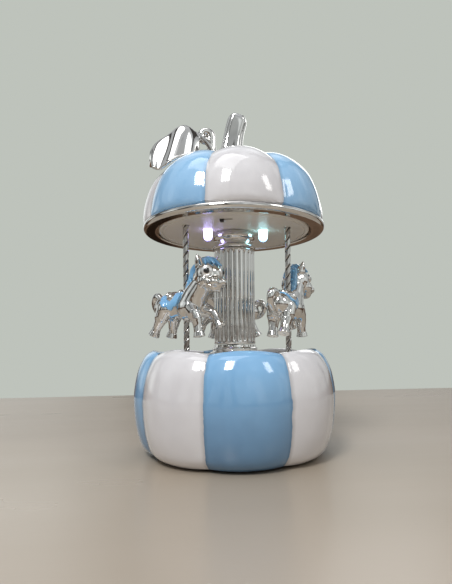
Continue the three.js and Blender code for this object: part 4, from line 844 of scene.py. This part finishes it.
ceiling_low, ceiling_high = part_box("ceiling_disc")
zl, zh = ceiling_low.z / mm, ceiling_high.z / mm
ceiling_radius = ceiling_high.x / mm
ceiling = turned("ceiling", [
    (2.4, zh), (2.4, zl), (13.2, zl), (13.4, zl + 0.3), (13.8, zl + 0.3), (14.0, zl), (38.8, zl), (39.0, zl + 0.35),
    (39.5, zl + 0.35), (39.7, zl), (ceiling_radius - 0.4, zl), (ceiling_radius, zl + 0.4), (ceiling_radius, zh)],
    160, closed=True)
lamp_hole, slot_turn = 2.75, radians(-14)
lamp_at = []
for k in (1, 2, 3):
    low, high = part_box(f"lamp_{k}")
    lamp_at.append(((low.x + high.x) / 2 / mm, (low.y + high.y) / 2 / mm))
lever_low, lever_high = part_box("switch_lever")
slot_middle = Vector(((lever_low.x + lever_high.x) / 2, (lever_low.y + lever_high.y) / 2, 0)) / mm
slot_way = Vector((cos(slot_turn), sin(slot_turn), 0))
slot_middle += slot_way * 2
bare()
bpy.ops.mesh.primitive_cube_add(size=1, location=(slot_middle.x * mm, slot_middle.y * mm, (zl + zh) / 2 * mm),
                                rotation=(0, 0, slot_turn), scale=(6.6 * mm, 2.6 * mm, 6 * mm))
slot_cut = bpy.context.object
bored(ceiling, [drill(x, y, lamp_hole, zl - 2, zh + 2) for x, y in lamp_at])
bored(ceiling, [drill(x, y, pole_hole, zl - 2, zh + 2) for x, y in pole_at])
bored(ceiling, [slot_cut])
smooth(ceiling, 30)
dressed(ceiling, cream)
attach(ceiling, "carousel")
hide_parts("ceiling_disc")

lamp_glow = ((0.62, 0.52, 1.0), (0.50, 0.95, 0.90), (0.85, 0.9, 1.0))
for k, ((x, y), glow) in enumerate(zip(lamp_at, lamp_glow), 1):
    low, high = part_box(f"lamp_{k}")
    tip, top = low.z / mm, high.z / mm
    lamp = turned(f"lamp_bulb_{k}", soft_line([(0, tip), (0.9, tip + 0.16), (1.7, tip + 0.66), (2.3, tip + 1.55),
                                               (2.48, tip + 2.7)], 4) + [(2.48, top), (0, top)], 48)
    lamp.location = (x * mm, y * mm, 0)
    pick(lamp)
    bpy.ops.object.transform_apply(location=True, rotation=False, scale=False)
    smooth(lamp, 40)
    lens = surface(f"lamp_lens_{k}", (0.80, 0.84, 0.95), 0.06, coat=0.5, second=(0.70, 0.76, 0.92), patch=500,
                   rough_by=0.03, grain=0.004, grain_size=1800)
    parts, link = lens.node_tree.nodes, lens.node_tree.links.new
    shader = parts["Principled BSDF"]
    shader.inputs["Transmission Weight"].default_value = 0.25
    centre = parts.new("ShaderNodeSeparateXYZ")
    link(parts["Texture Coordinate"].outputs["Object"], centre.inputs[0])
    up = parts.new("ShaderNodeMapRange")
    up.inputs["From Min"].default_value, up.inputs["From Max"].default_value = tip * mm, (tip + 4) * mm
    link(centre.outputs[2], up.inputs["Value"])
    ramp = parts.new("ShaderNodeValToRGB")
    ramp.color_ramp.elements[0].position, ramp.color_ramp.elements[1].position = 0.0, 0.75
    ramp.color_ramp.elements[0].color = (0.16 * glow[0], 0.16 * glow[1], 0.5 * glow[2], 1)
    ramp.color_ramp.elements[1].color = (*glow, 1)
    link(up.outputs["Result"], ramp.inputs["Fac"])
    link(ramp.outputs["Color"], shader.inputs["Emission Color"])
    shader.inputs["Emission Strength"].default_value = 2.2
    dressed(lamp, lens)
    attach(lamp, "carousel")
    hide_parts(f"lamp_{k}")

board_green = surface("board_mask", (0.015, 0.115, 0.055), 0.28, coat=0.3, second=(0.02, 0.15, 0.07), patch=300,
                      rough_by=0.06, grain=0.01, grain_size=2600)
eased("lamp_board", board_green, 0.1)
eased("cell_holder", black_plastic, 0.25)
eased("coin_cell", steel, 0.25)
eased("switch_housing", steel, 0.2)
eased("switch_lever", black_plastic, 0.2)


# ======================================================================================
# CANOPY RIM
# A spun brass ring, rolled over at its edge and plated bright. The canopy shell stands on it
# and its inner flange carries the ceiling.
# ======================================================================================

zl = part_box("canopy_rim")[0].z / mm
rim = turned("rim_ring", soft_line([
    (42.85, zl + 0.9), (42.9, zl + 0.35), (43.5, zl + 0.03), (45.5, zl), (48.3, zl + 0.02), (49.4, zl + 0.4),
    (50.0, zl + 1.2), (50.05, zl + 2.0), (49.7, zl + 2.8), (49.2, zl + 3.1)], 4)
    + [(44.9, zl + 3.1), (44.9, zl + 4.35), (39.5, zl + 4.35), (39.5, zl + 3.05), (42.85, zl + 3.05)], 192, closed=True)
smooth(rim, 40)
dressed(rim, chrome)
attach(rim, "carousel")
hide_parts("canopy_rim")


# ======================================================================================
# CANOPY SHELL
# The upper half of the pumpkin, slip-cast and glazed like the lower shell but with a white
# lobe to the front. Its top dips in the middle, where the stem stands.
# ======================================================================================

canopy_low, canopy_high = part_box("canopy_shell")
zl, tall, wide = canopy_low.z / mm, (canopy_high.z - canopy_low.z) / mm, canopy_high.x / mm
canopy_crease, dip_share = 2.2, 0.785
# the second blue is painted shade: the blue lobes turn darker towards the canopy's rim
canopy_blue, canopy_blue_shaded = (0.36, 0.63, 0.91), (0.30, 0.54, 0.82)
canopy_inside = [(0, zl + 23.7, 0), (10.8, zl + 23.7, 0), (16.2, zl + 26.6, 0), (22.6, zl + 29.0, 0),
                 (29.8, zl + 27.2, 0), (36.1, zl + 23.4, 0), (41.0, zl + 17.8, 0), (44.0, zl + 11.2, 0),
                 (45.1, zl + 4.4, 0), (45.1, zl + 0.3, 0), (45.6, zl, 0)]
canopy_outside = soft_line([(r * wide, zl + h * tall, give) for r, h, give in (
    (0.972, 0, 0.5), (0.99, 0.022, 0.6), (0.9995, 0.11, 0.85), (0.986, 0.28, 1), (0.948, 0.47, 1), (0.888, 0.65, 1),
    (0.8, 0.79, 1), (0.69, 0.905, 1), (0.57, 0.975, 1), (0.46, 0.9995, 1), (0.36, 0.965, 0.8), (0.275, 0.89, 0.4),
    (0.22, 0.81, 0.05), (0.17, 0.787, 0), (0, dip_share, 0))], 5)
canopy = turned("upper_shell", [p[:2] for p in canopy_inside + canopy_outside], 192)
lobed(canopy, canopy_inside + canopy_outside, canopy_crease)
smooth(canopy, 35)
dressed(canopy, painted_lobes("glaze_upper_shell", False, zl, zl + tall, canopy_blue_shaded, canopy_blue))
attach(canopy, "carousel")
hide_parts("canopy_shell")


# ======================================================================================
# STEM, LEAF AND CURL
# Three plated castings on top: a leaning ribbed stem with a rounded end, a broad drooping leaf
# on a stalk, and a thick shoot that curls over on itself. Pins hold them in the canopy's dip.
# ======================================================================================

crown = canopy_low.z / mm + dip_share * tall + 0.3


def reshaped(piece, rule):
    """Moves every point of the mesh to where rule(x, y, z) says."""
    for v in piece.data.vertices:
        v.co = Vector(rule(*(v.co / mm))) * mm
    return piece


stem_tip, stem_flare, stem_height, stem_bow = 5.5, 2.2, 35.2, radians(17)
rows = [k / 30 for k in range(31)]
stem = turned("stem_cast", [(0, 0), (0.5, 0), (0.93, 0)] + [(1, s) for s in rows[1:-2]]
              + [(0.985, 0.945), (0.95, 0.965), (0.89, 0.983), (0.81, 0.995), (0.73, 1.0), (0.66, 0.996), (0.60, 0.984),
                 (0.54, 0.968), (0.3, 0.96), (0, 0.958)], 96)


def stem_rule(x, y, s):
    """Where a point of a plain round bar goes: s runs from 0 at the foot to 1 at the tip."""
    rim_share, a = hypot(x, y), atan2(-y, x)
    s = max(0.0, min(1.0, s))
    folds = (0.085 * cos(5 * a + 1.6 * s) + 0.012 * cos(9 * a + 4 * s + 1)) * (1 - 0.35 * s * s)
    flare = max(0.0, min(1.0, (s - 0.05) / 0.7))
    radius = rim_share * (1 + folds - 0.012) * (stem_tip + stem_flare * (1 - flare * flare * (3 - 2 * flare)))
    lean, bow = -1.7 + 5.0 * s ** 2.4, stem_bow * s ** 2.2
    across, high = lean + radius * cos(a) * cos(bow), s * stem_height - radius * cos(a) * sin(bow)
    return across, -radius * sin(a), crown + max(0.02, high)


reshaped(stem, stem_rule)
pick(stem)
bpy.ops.object.mode_set(mode="EDIT")
bpy.ops.mesh.select_all(action="SELECT")
bpy.ops.mesh.normals_make_consistent(inside=False)
bpy.ops.object.mode_set(mode="OBJECT")
smooth(stem, 45)

leaf_turn, leaf_start, leaf_half, leaf_wall = radians(187), 19.6, 12.4, 1.35
leaf_arch = [(0, 22.5), (5.4, 27.2), (11, 26.0), (17.4, 20.8), (23.8, 15.0), (26.2, 9.8), (22.4, 4.0)]
arch_line = soft_line(leaf_arch, 16)
leaf_halves = (0.42, 0.8, 1, 0.97, 0.85, 0.66, 0.2)


def along_arch(u):
    """The place and the direction at this share of the leaf's midrib."""
    place = max(0.0, min(1.0, u)) * (len(arch_line) - 1)
    k = min(len(arch_line) - 2, int(place))
    a, b = Vector(arch_line[k]), Vector(arch_line[k + 1])
    return a.lerp(b, place - k), (b - a).normalized()


bare()
bpy.ops.mesh.primitive_grid_add(x_subdivisions=72, y_subdivisions=44, size=mm)
leaf = bpy.context.object
leaf.name = leaf.data.name = "leaf_cast"


def dome_at(r):
    """The height of the canopy's outside at this radius, over the crest of a lobe."""
    line = canopy_outside
    for a, b in zip(line, line[1:]):
        if b[0] <= r <= a[0]:
            return a[1] + (b[1] - a[1]) * (a[0] - r) / max(1e-6, a[0] - b[0])
    return 0.0


def leaf_rule(x, y, z):
    """Where a point of a flat sheet goes: folded across, arched along its midrib and hung at the sides."""
    u, v = x + 0.5, y * 2
    at, way = along_arch(u)
    k = min(5, int(u * 6))
    share = leaf_halves[k] + (leaf_halves[k + 1] - leaf_halves[k]) * (u * 6 - k)
    pleat = 0.5 + 0.5 * cos(2 * pi * (3.1 * u - 0.75 * abs(v) + 0.1))
    half = leaf_half * share * (0.91 + 0.12 * pleat)
    hang = 30 - 17 * u if v > 0 else 12 - 9 * u
    fall = hang * share * abs(v) ** 1.25
    fold = share * (1.35 * pleat - 1.0) * (0.35 + 0.65 * min(1.0, 1.6 * abs(v)))
    out = leaf_start + at.x - fold * way.y - 0.15 * fall * u
    side = v * half
    across, deep = (out * cos(leaf_turn) - side * sin(leaf_turn), out * sin(leaf_turn) + side * cos(leaf_turn))
    high = max(crown + at.y + fold * way.x - fall, dome_at(hypot(across, deep)) + 1.0)
    return across, deep, high


reshaped(leaf, leaf_rule)
wall = leaf.modifiers.new("wall", "SOLIDIFY")
wall.thickness, wall.offset, wall.use_even_offset = leaf_wall * mm, 0.0, False
apply_all(leaf)
bpy.ops.object.mode_set(mode="EDIT")
bpy.ops.mesh.select_all(action="SELECT")
bpy.ops.mesh.remove_doubles(threshold=1e-6)
bpy.ops.mesh.normals_make_consistent(inside=False)
bpy.ops.object.mode_set(mode="OBJECT")
stalk_path, stalk_sizes = curl([(-10.6, -3.0, crown + 12), (-13.2, -3.2, crown + 16.6), (-16.6, -3.0, crown + 20.6),
                                (-20.8, -2.7, crown + 23.6), (-26.0, -3.1, crown + 26.4)], 1.6, 0.9, 4)
pick(leaf, *branch(stalk_path, stalk_sizes))
bpy.ops.object.join()
leaf = cast("leaf_cast", [bpy.context.object], 0.34, 3)

turn_x, turn_y, turn_z = -15.0, 3.4, crown + 24.8
curl_points = [(-11.4, 5.0, crown + 8.2), (-11.5, 4.6, crown + 14), (-11.9, 3.9, crown + 19.5)]
for k in range(10):
    a = k / 9 * 0.85 * 2 * pi - 0.3
    reach = 3.2 - 0.09 * k
    curl_points.append((turn_x + reach * cos(a), turn_y - 0.12 * k + 0.4, turn_z + reach * sin(a)))
shoot_path, shoot_sizes = curl(curl_points, 2.75, 1.9, 4)
shoot = cast("shoot_cast", branch(shoot_path, shoot_sizes), 0.3, 4)

for piece, replaced in ((stem, "stem"), (leaf, "leaf"), (shoot, "tendril")):
    dressed(piece, chrome)
    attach(piece, "carousel")
    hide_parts(replaced)


# ======================================================================================
# TABLE, LIGHT AND CAMERA
# A plain pale tabletop under a plain wall colour, lit by a soft window from the left front,
# with weak ones to the right, behind and overhead.
# ======================================================================================

wall_colour = (0.515, 0.545, 0.50)
bare()
bpy.ops.mesh.primitive_cube_add(size=1, location=(0, -0.3575, -0.0125), scale=(1.6, 1.285, 0.025))
table = bpy.context.object
table.name = "tabletop"
bpy.ops.object.transform_apply(location=True, rotation=False, scale=True)
bpy.ops.object.mode_set(mode="EDIT")
bpy.ops.mesh.select_all(action="SELECT")
bpy.ops.mesh.bevel(offset=0.004, segments=3, affect="EDGES")
bpy.ops.object.mode_set(mode="OBJECT")
smooth(table, 40)
dressed(table, surface("tabletop_finish", (0.47, 0.40, 0.325), 0.30, second=(0.42, 0.355, 0.28), patch=6, rough_by=0.08,
                       grain=0.02, grain_size=500, stretch=(0.3, 1.6, 1)))

room = bpy.data.worlds.new("room")
bpy.context.scene.world = room
room.use_nodes = True
parts, link = room.node_tree.nodes, room.node_tree.links.new
parts.clear()
sky_out = parts.new("ShaderNodeOutputWorld")
seen = parts.new("ShaderNodeBackground")
seen.inputs["Color"].default_value, seen.inputs["Strength"].default_value = (*wall_colour, 1), 1.0
glow = parts.new("ShaderNodeBackground")
glow.inputs["Color"].default_value, glow.inputs["Strength"].default_value = (0.96, 0.98, 1.0, 1), 0.30
mirror = parts.new("ShaderNodeBackground")
way = parts.new("ShaderNodeTexCoord")
split = parts.new("ShaderNodeSeparateXYZ")
link(way.outputs["Generated"], split.inputs[0])
stand = parts.new("ShaderNodeMapping")
stand.inputs["Scale"].default_value = (2.3, 2.3, 0.9)
link(way.outputs["Generated"], stand.inputs["Vector"])
bands = parts.new("ShaderNodeTexNoise")
bands.inputs["Scale"].default_value, bands.inputs["Detail"].default_value = 1.3, 1.5
link(stand.outputs["Vector"], bands.inputs["Vector"])
dim = parts.new("ShaderNodeValToRGB")
dim.color_ramp.elements[0].position, dim.color_ramp.elements[0].color = 0.40, (0.10, 0.09, 0.085, 1)
dim.color_ramp.elements[1].position, dim.color_ramp.elements[1].color = 0.70, (1.6, 1.6, 1.6, 1)
for position, bright in ((0.455, 0.80), (0.58, 0.84)):
    dim.color_ramp.elements.new(position).color = (bright, bright, bright, 1)
link(bands.outputs["Fac"], dim.inputs["Fac"])
ramp = parts.new("ShaderNodeValToRGB")
ramp.color_ramp.elements[0].position, ramp.color_ramp.elements[0].color = 0.0, (0.16, 0.10, 0.065, 1)
ramp.color_ramp.elements[1].position, ramp.color_ramp.elements[1].color = 1.0, (0.70, 0.72, 0.74, 1)
for position, colour in ((0.05, (0.62, 0.64, 0.62, 1)), (0.30, (0.66, 0.69, 0.68, 1)), (0.55, (0.46, 0.48, 0.48, 1))):
    ramp.color_ramp.elements.new(position).color = colour
link(split.outputs[2], ramp.inputs["Fac"])
shade = parts.new("ShaderNodeMix")
shade.data_type, shade.blend_type = "RGBA", "MULTIPLY"
shade.inputs[0].default_value = 1.0
link(ramp.outputs["Color"], shade.inputs[6])
link(dim.outputs["Color"], shade.inputs[7])
link(shade.outputs[2], mirror.inputs["Color"])
ray = parts.new("ShaderNodeLightPath")
pick_mirror, pick_seen = parts.new("ShaderNodeMixShader"), parts.new("ShaderNodeMixShader")
link(ray.outputs["Is Glossy Ray"], pick_mirror.inputs[0])
link(glow.outputs[0], pick_mirror.inputs[1])
link(mirror.outputs[0], pick_mirror.inputs[2])
link(ray.outputs["Is Camera Ray"], pick_seen.inputs[0])
link(pick_mirror.outputs[0], pick_seen.inputs[1])
link(seen.outputs[0], pick_seen.inputs[2])
link(pick_seen.outputs[0], sky_out.inputs["Surface"])


def window(name, place, size, power, colour=(1, 1, 1)):
    """A soft rectangular light that faces the middle of the box."""
    light = bpy.data.lights.new(name, "AREA")
    light.shape, light.size, light.size_y, light.energy, light.color = "RECTANGLE", *size, power, colour
    lamp = bpy.data.objects.new(name, light)
    bpy.context.scene.collection.objects.link(lamp)
    lamp.location = place
    lamp.rotation_euler = (Vector(place) - Vector((0, 0, 0.1))).to_track_quat("Z", "Y").to_euler()


window("window_left", (-0.42, -0.70, 1.05), (0.26, 0.36), 9.5, (0.97, 0.985, 1.0))
window("window_right", (0.75, -0.60, 0.85), (0.22, 0.36), 1.5, (1.0, 0.985, 0.96))
window("window_back", (0.35, 0.80, 0.60), (0.5, 0.4), 1.0)
window("window_over", (-0.15, -0.15, 0.95), (0.5, 0.5), 1.6)

bpy.context.scene.view_settings.view_transform = "Standard"
side_step, eye_distance, eye_height, eye_roll = radians(6.6), 0.249, 0.060, radians(-0.6)
eye = bpy.data.cameras.new("eye")
eye.lens, eye.sensor_width, eye.shift_x, eye.shift_y = 27.25, 36, -0.0154, 0.0873
eye.clip_start = 0.01
camera = bpy.data.objects.new("eye", eye)
bpy.context.scene.collection.objects.link(camera)
camera.location = (-eye_distance * sin(side_step), -eye_distance * cos(side_step), eye_height)
camera.rotation_euler = (Matrix.Rotation(-side_step, 4, "Z") @ Matrix.Rotation(radians(90), 4, "X")
                         @ Matrix.Rotation(eye_roll, 4, "Z")).to_euler()
bpy.context.scene.camera = camera

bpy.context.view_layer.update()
